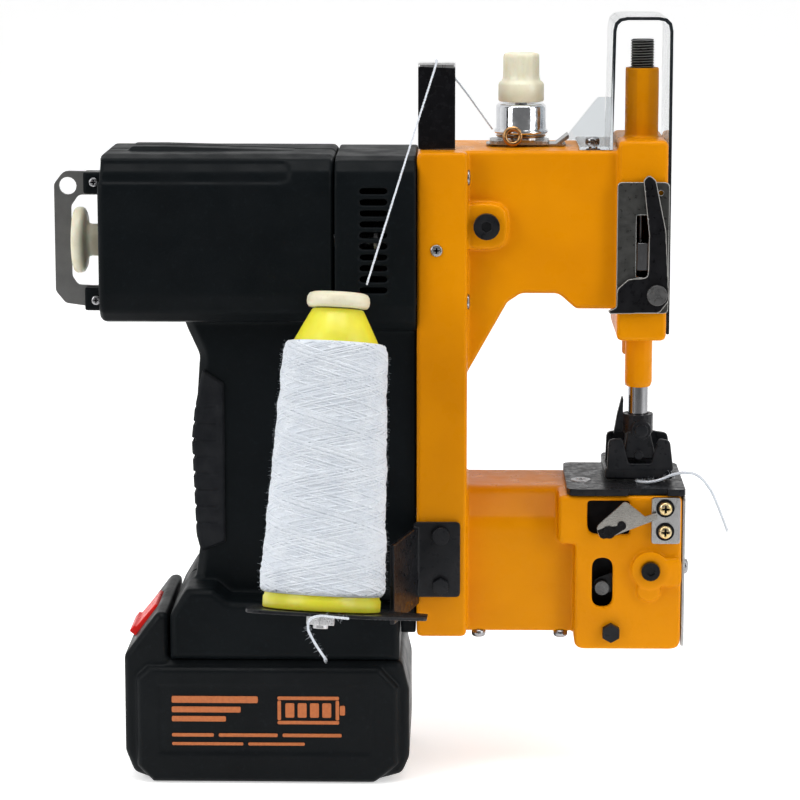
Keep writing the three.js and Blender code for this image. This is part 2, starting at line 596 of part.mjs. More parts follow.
const SOLE_PIVOT_Z = 132.5;
function presserFoot() {
  const bore = rod("z", BAR_X, PRESSER_Y, 132, 160, 4 + GAP, 16);
  const collar = rod("z", BAR_X, PRESSER_Y, 140.5, 148.3, 6.2, 18);
  const clampBoss = rod("y", BAR_X + 1, 142.6, -16.5, -8, 4, 16);
  const neck = plateY(
    outline([[147.8, 142, 1], [157, 142, 1], [159.5, 130.5, 1], [146, 130.5, 1]]), -15, -1, 0.6, 2);
  const hingePin = rod("y", BAR_X, SOLE_PIVOT_Z, -17.5, 1.5, 1.8, 12);
  const clampScrew = rod("y", BAR_X + 1, 142.6, -18, -16, 2.6, 12);
  const threadFinger = plateY(
    outline([
      [142.3, 139.5, 0.5], [143.8, 148, 4], [145.9, 156.5, 0.4], [146.3, 154, 0.3], [146.2, 149, 2],
      [147.6, 141, 0.5],
    ]), -9.5, -6.5, 0, 2);
  const foot = cut(join(collar, clampBoss, neck, hingePin, clampScrew, threadFinger), bore);
  node("presser_foot", foot, FINISH.blackSteel);

  // The rear ear hangs on the hinge pin, and the front one is open round the neck
  const rearEar = outline([
    [139.5, 126, 1], [140, 139, 2], [147, 139.5, 2], [152.3, 136.2, 2], [158.5, 139.5, 2], [165, 138.5, 2],
    [166.5, 126, 1],
  ]);
  const frontEar = outline([
    [139.5, 126, 1], [140, 139, 2], [145.6, 139.5, 1.5], [148.3, 129, 1], [157.5, 129, 1],
    [160.2, 139.5, 1.5], [165, 138.5, 2], [166.5, 126, 1],
  ]);
  const ears = join(
    plateY(frontEar, -17.4, -15.3, 0.4, 2),
    cut(plateY(rearEar, -0.7, 1.4, 0, 2), rod("y", BAR_X, SOLE_PIVOT_Z, -2, 3, 2.1, 12)),
  );
  const base = outline([[138.5, -17.6, 2], [166.5, -17.6, 2], [166.5, 17, 2], [138.5, 17, 2]]);
  // The needle clamp passes through the sole when the foot is lifted and the needle is down
  const clampRoom = block(BAR_X - 5.8, BAR_X + 5.8, 3.6, 14.4, 120, 130);
  const sole = cut(join(ears, plateZ(base, 122.6, 127, 0.6, 2)), clampRoom);
  node("presser_sole", sole, FINISH.blackSteel);
}

// Presser lifter on the front of the head
const LIFTER_Y = FRONT.head - GAP;
function lifter() {
  const { x: px, z: pz } = LIFTER_PIVOT;
  const plate = cut(
    plateY(rectangle(141.8, 162.6, 192.4, 245.1, 2), LIFTER_Y - 1.2, LIFTER_Y, 0, 3),
    plateY(rectangle(149.6, 155, 207, 232, 0.6), -THROUGH, -20, 0, 2),
    rod("y", px, pz, -THROUGH, -20, 2.4, 14),
    rod("y", 159.1, 240.8, -THROUGH, -20, 1, 10),
  );
  node("lifter_plate", plate, FINISH.steel);
  const handle = outline([
    [154.2, 248.5, 1.8], [157, 246, 2], [161.2, 226, 4], [162.8, 198, 4], [159, 193, 2], [139.4, 192.5, 0.5],
    [138.5, 193.7, 0.4], [141.8, 195.2, 1], [142, 202.5, 3], [146.5, 206.6, 3], [154.2, 207.2, 2],
    [154.5, 224, 3], [152, 246, 1.5],
  ]);
  const top = LIFTER_Y - 1.2 - GAP;
  const lever = cut(plateY(handle, top - 2, top, 0, 3), rod("y", px, pz, -THROUGH, -20, 2.4, 14));
  node("lifter_lever", lever, FINISH.blackSteel);
  const head = rod("y", px, pz, -33.4, top - 2 - GAP, 4.1, 20);
  const pin = join(head, rod("y", px, pz, -32, LIFTER_Y - GAP, 2.1, 14));
  node("lifter_pin", pin, FINISH.steel);
}

// Sewing surface, feed dog, looper and thread cutter
function stitchBed() {
  const bed = outline([
    [123, -30, 4], [147.4, -30, 0], [148, -28, 0], [163, -28, 0], [163.5, -30, 0], [170.7, -30, 2],
    [170.7, 25, 3], [123, 25, 3],
  ]);
  const plate = cut(
    plateZ(bed, 118.3, PLATE_TOP, 0, 2),
    rod("z", 129.2, -11, 116, 125, 2.2, 14),
    rod("z", BAR_X, NEEDLE_Y, 116, 125, 2, 12),
    block(141.5, 163.5, -1.2, 1.2, 116, 125),
    block(141.5, 163.5, 16.5, 19, 116, 125),
  );
  node("needle_plate", plate, FINISH.blackSteel);

  const teeth = (y0, y1) => {
    const rack = block(145, 160, y0, y1, 113, 120.4);
    const notch = (i) => block(146.2 + i * 2.4, 147.2 + i * 2.4, y0 - 1, y1 + 1, 119.8, 121);
    return cut(rack, ...[0, 1, 2, 3, 4, 5].map(notch));
  };
  const carrier = block(145, 160, -0.8, 18.6, 110.8, 113.2);
  const dog = cut(
    join(teeth(-0.8, 0.8), teeth(17, 18.6), carrier),
    block(BAR_X - 5.5, BAR_X + 2.5, NEEDLE_Y - 2.5, NEEDLE_Y + 2.5, 100, 130),
  );
  node("feed_dog", dog, FINISH.steel);

  // Looper shaft turns in the front boss; the looper, its rocker arm and pin are clamped on it
  const { x: lx, z: lz } = LOOPER_PIVOT;
  const shaft = join(rod("y", lx, lz, -33.2, 14, 3, 14), rod("y", lx, lz, -34.4, -32.6, 3.8, 16));
  node("looper_shaft", cut(shaft, rod("y", lx, lz, -36, -33.4, 1.8, 6)), FINISH.blackSteel);
  const bore = rod("y", lx, lz, -THROUGH, THROUGH, 3 + GAP, 14);
  const arm = plateY(
    outline([[lx + 5, lz + 5, 4], [lx + 5, lz - 6, 4], [135, 76, 3], [134, 82.5, 3]]), -24.8, -20.5, 0, 2);
  const windowPin = rod("y", 137.5, 79.5, -27.4, -22, 2.9, 14);
  const hub = rod("y", lx, lz, -21, 11, 6, 16);
  const hook = plateY(
    outline([
      [lx + 4, lz, 1], [lx - 4, lz, 1], [149.5, 100, 3], [145, 107, 1], [155.5, 109.5, 0], [158, 106, 2],
    ]), 5.2, 7.6, 0, 2);
  node("looper", cut(join(arm, windowPin, hub, hook), bore), FINISH.steel);
}

function cutter() {
  const front = FRONT.base - 3.4;
  const { x: kx, z: kz } = KNIFE_PIVOT;
  const blade = outline([
    [136.2, 100.5, 3], [134.6, 106.4, 2.5], [146.2, 117, 1.5], [154.2, 110.6, 0], [158.7, 112.2, 0],
    [159.2, 109.6, 0],
  ]);
  const knife = join(
    plateY(blade, front - 1.2, front, 0, 3),
    rod("y", kx, kz, front - 2.2, front - 1, 2.5, 14),
    rod("y", kx + 5, kz + 2.7, front - 2, front - 1, 1.8, 12),
  );
  const socket = rod("y", kx, kz, front - 4, front - 1.8, 1.1, 6);
  node("moving_knife", cut(knife, socket), FINISH.steel);

  const { x: sx, upper, lower } = KNIFE_SCREWS;
  const fixed = cut(
    plateY(rectangle(157, 168.5, 99, 117.8, 1), FRONT.base - GAP - 2.4, FRONT.base - GAP, 0, 2),
    rod("y", sx, upper, -THROUGH, -20, 1.7, 12),
    rod("y", sx, lower, -THROUGH, -20, 1.7, 12),
  );
  node("fixed_knife", fixed, FINISH.steel);
  for (const [name, z] of Object.entries({ knife_screw_upper: upper, knife_screw_lower: lower })) {
    const head = rod("y", sx, z, -34.4, -32, 2.7, 16);
    const shank = rod("y", sx, z, -32.5, -24, 1, 8);
    const cross = join(
      block(sx - 1.8, sx + 1.8, -36, -33.7, z - 0.4, z + 0.4),
      block(sx - 0.4, sx + 0.4, -36, -33.7, z - 1.8, z + 1.8),
    );
    node(name, cut(join(head, shank), cross), FINISH.brass);
  }
}

function baseFittings() {
  const cover = cut(
    barX(rectangle(FRONT.base + 2, BACK - 1, 55, 117.6, 2), 169.7, 170.9, 0, 3),
    rod("x", -20, 87.2, 160, 180, 1.6, 10),
  );
  node("end_cover", cover, FINISH.blackSteel);
  const { x, z } = ADJUST_BOLT;
  const head = rod("y", x, z, -32.4, FRONT.base - GAP, 3.9, 6);
  node("adjust_bolt", join(head, rod("y", x, z, -30, -24, 1.5, 10)), FINISH.blackSteel);
}

// Clear guard bent from one strip over the top of the head
function fingerGuard() {
  const bent = outline([
    [126.8, 257.3, 0], [140.2, 257.3, 0], [141.2, 308.7, 4.5], [162.3, 308.7, 4.5], [162.3, 183, 0.5],
    [163.6, 183, 0.5], [163.6, 310, 5.5], [139.9, 310, 5.5], [138.9, 258.6, 0], [126.8, 258.6, 1],
  ]);
  const strip = plateY(bent, -22, 22, 0, 3);
  const gusset = outline([[122, 257.4, 0], [139, 257.4, 0], [139, 275, 0], [136, 275, 0]]);
  const screwHole = rod("z", SCREEN_SCREW_X, 0, 250, 262, 1.8, 12);
  node("finger_guard", cut(join(strip, plateY(gusset, 20.8, 22, 0, 2)), screwHole), FINISH.clear);
}

// Thread guide post on top of the column
function threadGuide() {
  const plate = plateY(rectangle(62.6, 77.4, ARM_TOP + GAP, 290.4, 0.8), -20.6, -19.2, 0, 2);
  const foot = plateZ(rectangle(62.6, 77.4, -20.6, -6, 1), ARM_TOP + GAP, ARM_TOP + GAP + 1.4, 0, 2);
  const flange = plateZ(rectangle(62.6, 77.4, -20.6, -8, 1), 289.6, 291, 0, 2);
  const body = cut(
    join(plate, foot, flange),
    rod("z", 69.9, -15, 285, 295, 1.8, 14),
    rod("z", 74, -11.5, 285, 295, 1.4, 12),
  );
  node("thread_guide", body, FINISH.blackSteel);
}

// Thread tension: post and plates, spring cup, knob
function tension() {
  const strip = outline([[90, -6, 3], [122, -6, 1], [122, 6, 1], [90, 6, 3]]);
  const curl = outline([[119, 257.4, 0], [123.6, 260.6, 1], [123, 262.2, 0], [118, 258.2, 0]]);
  const base = join(
    turned([[0, 252], [2.4, 252], [2.4, 286], [0, 286]], TENSION_X, 0, 14),
    plateZ(rectangle(91.4, 115.4, -8, 8, 3), ARM_TOP + 0.8, 259.6, 0, 2),
    turned([[0, 259], [9.6, 259.4], [9.6, 260.6], [4, 261.8], [0, 261.8]], TENSION_X, 0, 20),
    plateZ(strip, ARM_TOP + GAP, ARM_TOP + 1.2, 0, 2),
    plateY(curl, -6, 6, 0, 2),
  );
  node("tension_base", base, FINISH.steel);
  const postRoom = rod("z", TENSION_X, 0, 255, 288, 2.4 + GAP, 14);
  const cup = [[0, 262.1], [11, 262.1], [11, 263.5], [10.2, 264], [10.2, 273], [9.4, 274], [0, 274]];
  node("tension_cup", cut(turned(cup, TENSION_X, 0, 28), postRoom), FINISH.chrome);
  const knob = [
    [0, 275], [9.3, 275], [9.3, 282.4], [8.4, 283], [7.1, 283.6], [7.1, 293.4], [6.3, 294.5], [0, 294.5],
  ];
  node("tension_knob", cut(turned(knob, TENSION_X, 0, 24), postRoom), FINISH.cream);
}

// Thread cone on its tilted tray
const SPOOL_TURNS = [-SPOOL.backTilt, SPOOL.sideTilt, 0];
const onTray = (body) => body.transform(matrixOf([SPOOL.x, SPOOL.y, SPOOL.z], SPOOL_TURNS));
function spoolHolder() {
  const sheet = 1.4;
  const edge = outline([
    [-28, -26, 8], [20, -26, 8], [41, -12, 6], [41, 22, 2], [-14, 26, 12], [-28, 20, 10],
  ]);
  const tray = plateZ(edge, -sheet, 0, 0, 3);
  const sideWall = plateZ(
    outline([[63.4, -32.5, 0], [61.2, -32.5, 0], [52.2, -66, 0], [54, -66.4, 0]]),
    74, 106, 0, 2);
  const mount = plateY(rectangle(61, 79.9, 77.2, 108.1, 1.6), -34.4, COLUMN.front - GAP, 0, 2);
  const nutBore = rod("z", 0, 0, -10, 10, 3 + GAP, 12);
  const boltHole = (z) => rod("y", BRACKET_BOLTS.x, z, -THROUGH, -20, 1.9, 10);
  const body = cut(
    join(onTray(cut(tray, nutBore)), sideWall, mount),
    boltHole(BRACKET_BOLTS.round),
    boltHole(BRACKET_BOLTS.hex),
  );
  node("spool_bracket", body, FINISH.blackSteel);
  const pin = join(rod("z", 0, 0, -7, 108, 3, 12), rod("z", 0, 0, -5.5, -sheet - GAP, 6.2, 6));
  node("spool_pin", onTray(pin), FINISH.steel);
  const bolts = { spool_bolt_upper: [BRACKET_BOLTS.round, 16], spool_bolt_lower: [BRACKET_BOLTS.hex, 6] };
  for (const [name, [z, sides]] of Object.entries(bolts)) {
    const head = rod("y", BRACKET_BOLTS.x, z, -37, -34.4 - GAP, 3.6, sides);
    const shank = rod("y", BRACKET_BOLTS.x, z, -35, -24, 1.6, 10);
    node(name, join(head, shank), FINISH.blackSteel);
  }
}

function spool() {
  const coneRadius = (s) => 22.6 - (12.8 * (s - 4)) / 115;
  const cone = turned([
    [20.6, 0.4], [22.8, 0.4], [22.8, 5], [coneRadius(6), 6], [coneRadius(119), 119], [3.6, 119],
    [3.6, 117], [coneRadius(117) - 2, 117], [20.6, 0.4],
  ], 0, 0, 20);
  node("thread_cone", onTray(cone), FINISH.cone);

  // Thread wound on the cone in slightly wavy layers
  const packRadius = (s) => 24.8 - (4.5 * (s - 6)) / 98 + 0.25 * Math.sin(s * 0.45);
  const outer = [];
  const layers = 8;
  for (let i = 0; i <= layers; i += 1) {
    const s = 6.6 + (i * 96.4) / layers;
    outer.push([packRadius(s), s]);
  }
  const gap = 0.4;
  const profile = [
    [coneRadius(6) + gap, 6.3], ...outer, [coneRadius(104) + gap, 104], [coneRadius(6) + gap, 6.3],
  ];
  node("thread_pack", onTray(turned(profile, 0, 0, 20)), FINISH.thread);

  const cap = turned([
    [0, 119.4], [10.2, 119.4], [11.8, 120.6], [11.8, 122.6], [10.6, 124.4], [7.4, 125.2], [0, 125.2],
  ], 0, 0, 20);
  node("cone_cap", onTray(cap), FINISH.cream);
}

// Trigger and switch in the handle, battery below
function trigger() {
  const key = outline([
    [15.5, 173.6, 2], [18, 163, 5], [15, 152.4, 2], [4.4, 152.4, 1], [4.4, 173.6, 1],
  ]);
  const stop = block(3.4, 5.4, -9.4, 9.4, 150.4, 175.2);
  node("trigger", join(plateY(key, -8, 8, 1, 2), stop), FINISH.black);
  node("trigger_switch", block(-16, -4.4, -7, 7, 150, 176), FINISH.rubber);
}

function battery() {
  const { x0, x1, depth, top } = BATTERY;
  const shoulder = FOOT.x0 - 1;
  const profile = outline([
    [x0 + 11, 0, 2], [x1 - 14, 0, 2], [x1 - 3, 3, 3], [x1, 10, 3], [x1, 38, 4], [x1 - 3, top, 3],
    [shoulder, top, 0], [shoulder, 70, 2], [-43, 70, 3], [x0 - 0.5, 52, 3], [x0 - 0.5, 12, 3], [x0 + 3, 3, 3],
  ]);
  const raised = outline([
    [-45, 0, 0], [45.5, 0, 0], [54.9, 7.5, 0], [54.9, 40, 0], [47.5, 48, 0], [-46.5, 48, 0],
    [-51.2, 43.5, 0], [-51.2, 6.5, 0],
  ]);
  const tub = join(plateY(profile, -depth + 3, depth - 3, 1.8, 2), plateY(raised, -depth, depth, 1.4, 1));
  const tongue = join(
    block(-36, 40, -RAIL_HALF + 4, RAIL_HALF - 4, top - 2, 62),
    block(-36, 40, -RAIL_HALF + 1, RAIL_HALF - 1, 58, 62),
  );
  const inside = join(
    block(x0 + 6, x1 - 5, -depth + 5.5, depth - 5.5, 4, 43),
    block(-34, 38, -18, 18, 40, 59),
  );
  const label = block(-42.5, 44.3, -depth - 5, -depth + 0.6, 11.8, 41.2);
  const buttonRoom = onShoulder(block(-8.6, 8.6, -12.6, 12.6, -6, 6));
  const vent = block(30, 50, -10, 10, 55, 66);
  node("battery_case", cut(join(tub, tongue), inside, label, buttonRoom, vent), FINISH.black);

  // Two rows of cells in one shrink wrap
  const wrap = new THREE.Shape();
  const cellR = 9.2;
  const cellX = (i) => -38 + i * 19.6;
  for (let i = 0; i < 5; i += 1) wrap.absarc(cellX(i), 33, cellR, Math.PI, 0, true);
  for (let i = 4; i >= 0; i -= 1) wrap.absarc(cellX(i), 14.2, cellR, 0, Math.PI, true);
  wrap.closePath();
  node("battery_cells", plateY(wrap, -31.6, 31.6, 0, 5), FINISH.cell);
  const button = join(block(-8, 8, -12, 12, -3.2, 1.2), block(-8, -5, -12, 12, 1, 2.2));
  node("release_button", onShoulder(button), FINISH.red);
}

// The shoulder's own frame: X up its slope, Z out of it
function onShoulder(body) {
  const { x, z, slope } = BUTTON_SEAT;
  return body.transform(matrixOf([x, 0, z], [0, -slope, 0]));
}

// Threads
const UPPER_ROUTE = [
  [43.3, -62.4, 208.6], [52, -49, 236], [60.6, -36, 263], [69.2, -22.8, 289.4], [69.8, -20, 292.2],
  [69.9, -16.2, 292.2], [70.6, -14.8, 289], [77.8, -13, 284.4], [92.4, -9.4, 264.4],
];
const CHAIN_ROUTE = [
  [151.5, -15.2, 121.75], [153.2, -18.3, 121.8], [156.5, -19.9, 122], [161, -20, 123], [166, -19.6, 125],
  [171, -19.3, 125.8], [176.5, -19, 124.4], [181.5, -18.8, 118.6], [185, -18.6, 111], [188.5, -18.6, 102],
];
const CONE_ROUTE = [
  [38, -117, 89.6], [33, -118.2, 90.4], [27, -118.6, 91], [23.4, -118.8, 89.6], [22.8, -118.8, 86],
  [25, -118.6, 80], [27.4, -118.4, 74], [29.6, -118.2, 68],
];
function threads() {
  node("upper_thread", cord(UPPER_ROUTE, 0.5, 8, 34), FINISH.thread);
  node("chain_tail", cord(CHAIN_ROUTE, 0.6, 8, 20), FINISH.thread);
  node("cone_tail", cord(CONE_ROUTE, 0.5, 8, 16), FINISH.thread);
}

motorShells();
gripOvermold();
beltCase();
hanger();
handwheel();
drive();
needleDrive();
castFrame();
rearCover();
presser();
presserFoot();
lifter();
stitchBed();
cutter();
baseFittings();
fingerGuard();
threadGuide();
tension();
spoolHolder();
spool();
trigger();
battery();
threads();

export default machine;
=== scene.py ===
"""The looks of a cordless bag closer sewing machine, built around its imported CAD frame.

X runs from the rear handwheel to the sewing head, Z runs up, and the operator looks along +Y.
Blender works in metres; sizes in this file are in millimetres unless a name or comment says otherwise.
"""

import math
import random

import bmesh
import bpy
from mathutils import Matrix, Vector, noise


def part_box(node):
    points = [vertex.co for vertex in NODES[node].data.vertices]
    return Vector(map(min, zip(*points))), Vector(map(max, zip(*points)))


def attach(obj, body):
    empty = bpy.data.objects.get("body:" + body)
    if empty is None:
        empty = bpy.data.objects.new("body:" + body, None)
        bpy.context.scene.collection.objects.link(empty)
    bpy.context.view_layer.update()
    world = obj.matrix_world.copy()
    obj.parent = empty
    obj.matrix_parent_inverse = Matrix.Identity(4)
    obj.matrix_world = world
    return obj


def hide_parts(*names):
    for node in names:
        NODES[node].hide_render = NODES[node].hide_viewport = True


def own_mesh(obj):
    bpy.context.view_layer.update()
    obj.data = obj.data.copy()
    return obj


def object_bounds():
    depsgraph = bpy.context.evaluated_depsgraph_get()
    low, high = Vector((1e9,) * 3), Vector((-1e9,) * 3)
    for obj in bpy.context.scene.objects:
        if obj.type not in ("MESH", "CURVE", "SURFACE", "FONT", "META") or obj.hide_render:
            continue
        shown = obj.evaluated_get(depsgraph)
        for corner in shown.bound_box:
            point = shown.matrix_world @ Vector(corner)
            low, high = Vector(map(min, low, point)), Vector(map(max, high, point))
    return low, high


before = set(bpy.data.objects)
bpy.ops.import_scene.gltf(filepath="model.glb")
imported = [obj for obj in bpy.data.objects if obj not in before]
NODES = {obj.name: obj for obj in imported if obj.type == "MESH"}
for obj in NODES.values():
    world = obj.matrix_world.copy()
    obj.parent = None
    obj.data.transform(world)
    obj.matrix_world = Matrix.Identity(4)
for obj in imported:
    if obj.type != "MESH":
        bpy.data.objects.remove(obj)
CAD_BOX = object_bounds()
MM = 0.001
FRAME_BODY = "frame"


def mm(x, y, z):
    """A point or size given in millimetres."""
    return Vector((x, y, z)) * MM


def low(node):
    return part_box(node)[0]


def high(node):
    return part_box(node)[1]


def middle(node):
    return (low(node) + high(node)) / 2


# ---------------------------------------------------------------- camera, stage, light

EYE = mm(78.5, -1200, 371.5)
AIM = mm(55, 0, 178.5)
SENSOR_MM = 36
LENS_MM = 133.4
LENS_SHIFT = -0.08
NEAREST = 0.05


def make_camera():
    camera = bpy.data.objects.new("camera", bpy.data.cameras.new("camera"))
    bpy.context.scene.collection.objects.link(camera)
    camera.location = EYE
    camera.rotation_euler = (AIM - EYE).to_track_quat("-Z", "Y").to_euler()
    camera.data.sensor_width = SENSOR_MM
    camera.data.lens = LENS_MM
    camera.data.shift_y = LENS_SHIFT
    camera.data.clip_start = NEAREST
    bpy.context.scene.camera = camera


DIM_FRONT = 0.18
WHITE_BEHIND = 1.0
ROOM_FADE = (-0.75, 0.45)  # Y of the directions where the room is dimmest and where it is white
SOFTBOXES = (  # name, place, width and height in metres, and watts
    ("key_left", (-0.95, -0.75, 0.7), 0.5, 0.9, 8.5),
    ("key_right", (1.0, -0.6, 0.6), 0.4, 0.9, 6),
    ("top", (0.05, -0.25, 1.15), 0.9, 0.5, 6.5),
)


def softbox(name, place, width, height, watts):
    """A white rectangular light, turned to the machine."""
    lamp = bpy.data.lights.new(name, "AREA")
    lamp.shape = "RECTANGLE"
    lamp.size = width
    lamp.size_y = height
    lamp.energy = watts
    box = bpy.data.objects.new(name, lamp)
    bpy.context.scene.collection.objects.link(box)
    box.location = place
    target = (CAD_BOX[0] + CAD_BOX[1]) / 2
    box.rotation_euler = (target - Vector(place)).to_track_quat("-Z", "Y").to_euler()


def make_lights():
    """A room that is dim in front and white behind, with a softbox on each side and one above."""
    world = bpy.data.worlds.new("pale_room")
    world.use_nodes = True
    tree = world.node_tree
    sky = tree.nodes["Background"]
    sky.inputs["Color"].default_value = (1, 1, 1, 1)
    heading = tree.nodes.new("ShaderNodeTexCoord")
    parts = tree.nodes.new("ShaderNodeSeparateXYZ")
    level = tree.nodes.new("ShaderNodeMapRange")
    level.interpolation_type = "SMOOTHSTEP"
    level.inputs["From Min"].default_value = ROOM_FADE[0]
    level.inputs["From Max"].default_value = ROOM_FADE[1]
    level.inputs["To Min"].default_value = DIM_FRONT
    level.inputs["To Max"].default_value = WHITE_BEHIND
    tree.links.new(heading.outputs["Generated"], parts.inputs["Vector"])
    tree.links.new(parts.outputs["Y"], level.inputs["Value"])
    tree.links.new(level.outputs["Result"], sky.inputs["Strength"])
    bpy.context.scene.world = world
    bpy.context.scene.view_settings.view_transform = "Standard"
    for box in SOFTBOXES:
        softbox(*box)


FLOOR_GLOW = 0.45
PALE_FLOOR = 0.9
DIM_FLOOR = 0.22
FLOOR_FADE = (-0.75, -0.2)  # Y in metres, where the floor is dimmest and where it is pale
FLOOR_GAP = 0.0005  # the rest of the floor's sizes are in metres too
FLOOR_REACH = 6.0
BEND_START = 1.6
BEND_RADIUS = 1.2
BEND_STEPS = 24


def make_floor():
    """A pale floor, dimmer far in front, that curves up into a backdrop far behind."""
    ground = CAD_BOX[0].z - FLOOR_GAP
    profile = [(-FLOOR_REACH, ground), (BEND_START, ground)]
    for i in range(1, BEND_STEPS + 1):
        angle = math.pi / 2 * i / BEND_STEPS
        away = BEND_START + BEND_RADIUS * math.sin(angle)
        profile.append((away, ground + BEND_RADIUS * (1 - math.cos(angle))))
    profile.append((BEND_START + BEND_RADIUS, ground + FLOOR_REACH))
    points = [(x, y, z) for y, z in profile for x in (-FLOOR_REACH, FLOOR_REACH)]
    faces = [(2 * i, 2 * i + 1, 2 * i + 3, 2 * i + 2) for i in range(len(profile) - 1)]
    mesh = bpy.data.meshes.new("floor")
    mesh.from_pydata(points, [], faces)
    for face in mesh.polygons:
        face.use_smooth = True
    floor = bpy.data.objects.new("floor", mesh)
    bpy.context.scene.collection.objects.link(floor)
    paint = bpy.data.materials.new("floor")
    paint.use_nodes = True
    shader = paint.node_tree.nodes["Principled BSDF"]
    shader.inputs["Roughness"].default_value = 0.85
    shader.inputs["Emission Color"].default_value = (1, 1, 1, 1)
    links = paint.node_tree.links
    place = paint.node_tree.nodes.new("ShaderNodeTexCoord").outputs["Object"]
    parts = paint.node_tree.nodes.new("ShaderNodeSeparateXYZ")
    links.new(place, parts.inputs["Vector"])
    for socket, dim, bright in (
        ("Base Color", DIM_FLOOR, PALE_FLOOR),
        ("Emission Strength", 0.0, FLOOR_GLOW),
    ):
        fade = paint.node_tree.nodes.new("ShaderNodeMapRange")
        fade.interpolation_type = "SMOOTHSTEP"
        fade.inputs["From Min"].default_value = FLOOR_FADE[0]
        fade.inputs["From Max"].default_value = FLOOR_FADE[1]
        fade.inputs["To Min"].default_value = dim
        fade.inputs["To Max"].default_value = bright
        links.new(parts.outputs["Y"], fade.inputs["Value"])
        links.new(fade.outputs["Result"], shader.inputs[socket])
    mesh.materials.append(paint)


# ---------------------------------------------------------------- materials

MIX_FIRST = 6  # the colour sockets of a Mix node, which share their names with its other sockets
MIX_SECOND = 7
MIX_RESULT = 2


class Finish:
    """A Principled material whose colour, roughness and bump come from noise in the piece's own space."""

    def __init__(self, name, colour, roughness, **sockets):
        self.material = bpy.data.materials.new(name)
        self.material.use_nodes = True
        self.tree = self.material.node_tree
        self.shader = self.tree.nodes["Principled BSDF"]
        self.shader.inputs["Base Color"].default_value = (*colour, 1)
        self.shader.inputs["Roughness"].default_value = roughness
        for socket, value in sockets.items():
            self.shader.inputs[socket.replace("_", " ")].default_value = value
        self.space = self.tree.nodes.new("ShaderNodeTexCoord").outputs["Object"]
        self.colour = None
        self.plain = (*colour, 1)
        self.normal = None

    def spread(self, factor, start, end, low_value=0.0, high_value=1.0):
        """Stretches the start..end part of a factor over a new range."""
        node = self.tree.nodes.new("ShaderNodeMapRange")
        node.inputs["From Min"].default_value = start
        node.inputs["From Max"].default_value = end
        node.inputs["To Min"].default_value = low_value
        node.inputs["To Max"].default_value = high_value
        self.tree.links.new(factor, node.inputs["Value"])
        return node.outputs["Result"]

    def scaled(self, size, stretch):
        """Object space in units of size millimetres, stretched along its axes."""
        node = self.tree.nodes.new("ShaderNodeMapping")
        node.inputs["Scale"].default_value = [1 / (size * MM * s) for s in stretch]
        self.tree.links.new(self.space, node.inputs["Vector"])
        return node.outputs["Vector"]

    def noise(self, size, detail=3.0, stretch=(1, 1, 1), contrast=(0.35, 0.65)):
        """Soft blobs about size millimetres across, from 0 to 1."""
        node = self.tree.nodes.new("ShaderNodeTexNoise")
        node.inputs["Scale"].default_value = 1
        node.inputs["Detail"].default_value = detail
        self.tree.links.new(self.scaled(size, stretch), node.inputs["Vector"])
        return self.spread(node.outputs["Fac"], *contrast)

    def grains(self, size, stretch=(1, 1, 1)):
        """Small rounded cells about size millimetres across, from 0 to 1."""
        node = self.tree.nodes.new("ShaderNodeTexVoronoi")
        node.inputs["Scale"].default_value = 1
        self.tree.links.new(self.scaled(size, stretch), node.inputs["Vector"])
        return self.spread(node.outputs["Distance"], 0.0, 0.8)

    def tint(self, factor, colour, amount=1.0):
        """Mixes a second colour in where the factor is high."""
        node = self.tree.nodes.new("ShaderNodeMix")
        node.data_type = "RGBA"
        first, second = node.inputs[MIX_FIRST], node.inputs[MIX_SECOND]
        if self.colour is None:
            first.default_value = self.plain
        else:
            self.tree.links.new(self.colour, first)
        second.default_value = (*colour, 1)
        share = self.spread(factor, 0.0, 1.0, 0.0, amount)
        self.tree.links.new(share, node.inputs["Factor"])
        self.colour = node.outputs[MIX_RESULT]
        self.tree.links.new(self.colour, self.shader.inputs["Base Color"])
        return self

    def polish(self, factor, smooth, rough):
        """Roughness that runs between two values."""
        result = self.spread(factor, 0.0, 1.0, smooth, rough)
        self.tree.links.new(result, self.shader.inputs["Roughness"])
        return self

    def bump(self, factor, height, strength=1.0):
        """Raises the surface by up to height millimetres, over any bump already there."""
        node = self.tree.nodes.new("ShaderNodeBump")
        node.inputs["Distance"].default_value = height * MM
        node.inputs["Strength"].default_value = strength
        self.tree.links.new(factor, node.inputs["Height"])
        if self.normal is not None:
            self.tree.links.new(self.normal, node.inputs["Normal"])
        self.normal = node.outputs["Normal"]
        self.tree.links.new(self.normal, self.shader.inputs["Normal"])
        return self


def yellow_enamel():
    paint = Finish(
        "yellow_enamel", (0.66, 0.24, 0.001), 0.34,
        Coat_Weight=0.03, Coat_Roughness=0.12, Specular_IOR_Level=0.05,
    )
    paint.tint(paint.noise(38, 2), (0.57, 0.195, 0.001), 0.7)
    paint.tint(paint.noise(1.6, 4, contrast=(0.62, 0.75)), (0.55, 0.16, 0.002), 0.22)
    paint.polish(paint.noise(9, 4), 0.24, 0.38)
    paint.bump(paint.noise(4.5, 2), 0.10, 0.5)
    return paint.bump(paint.noise(0.9, 2), 0.018, 0.5).material


def black_nylon(name, grey, roughness, grain):
    """Moulded nylon with the fine spark-eroded texture of the mould."""
    shell = Finish(name, grey, roughness, Specular_IOR_Level=0.06)
    shell.tint(shell.noise(30, 3), [1.5 * g for g in grey], 0.6)
    shell.tint(shell.noise(2.2, 5, contrast=(0.58, 0.72)), [2.4 * g for g in grey], 0.35)
    shell.polish(shell.noise(12, 4), roughness - 0.06, roughness + 0.1)
    return shell.bump(shell.grains(grain), 0.05, 0.55).material


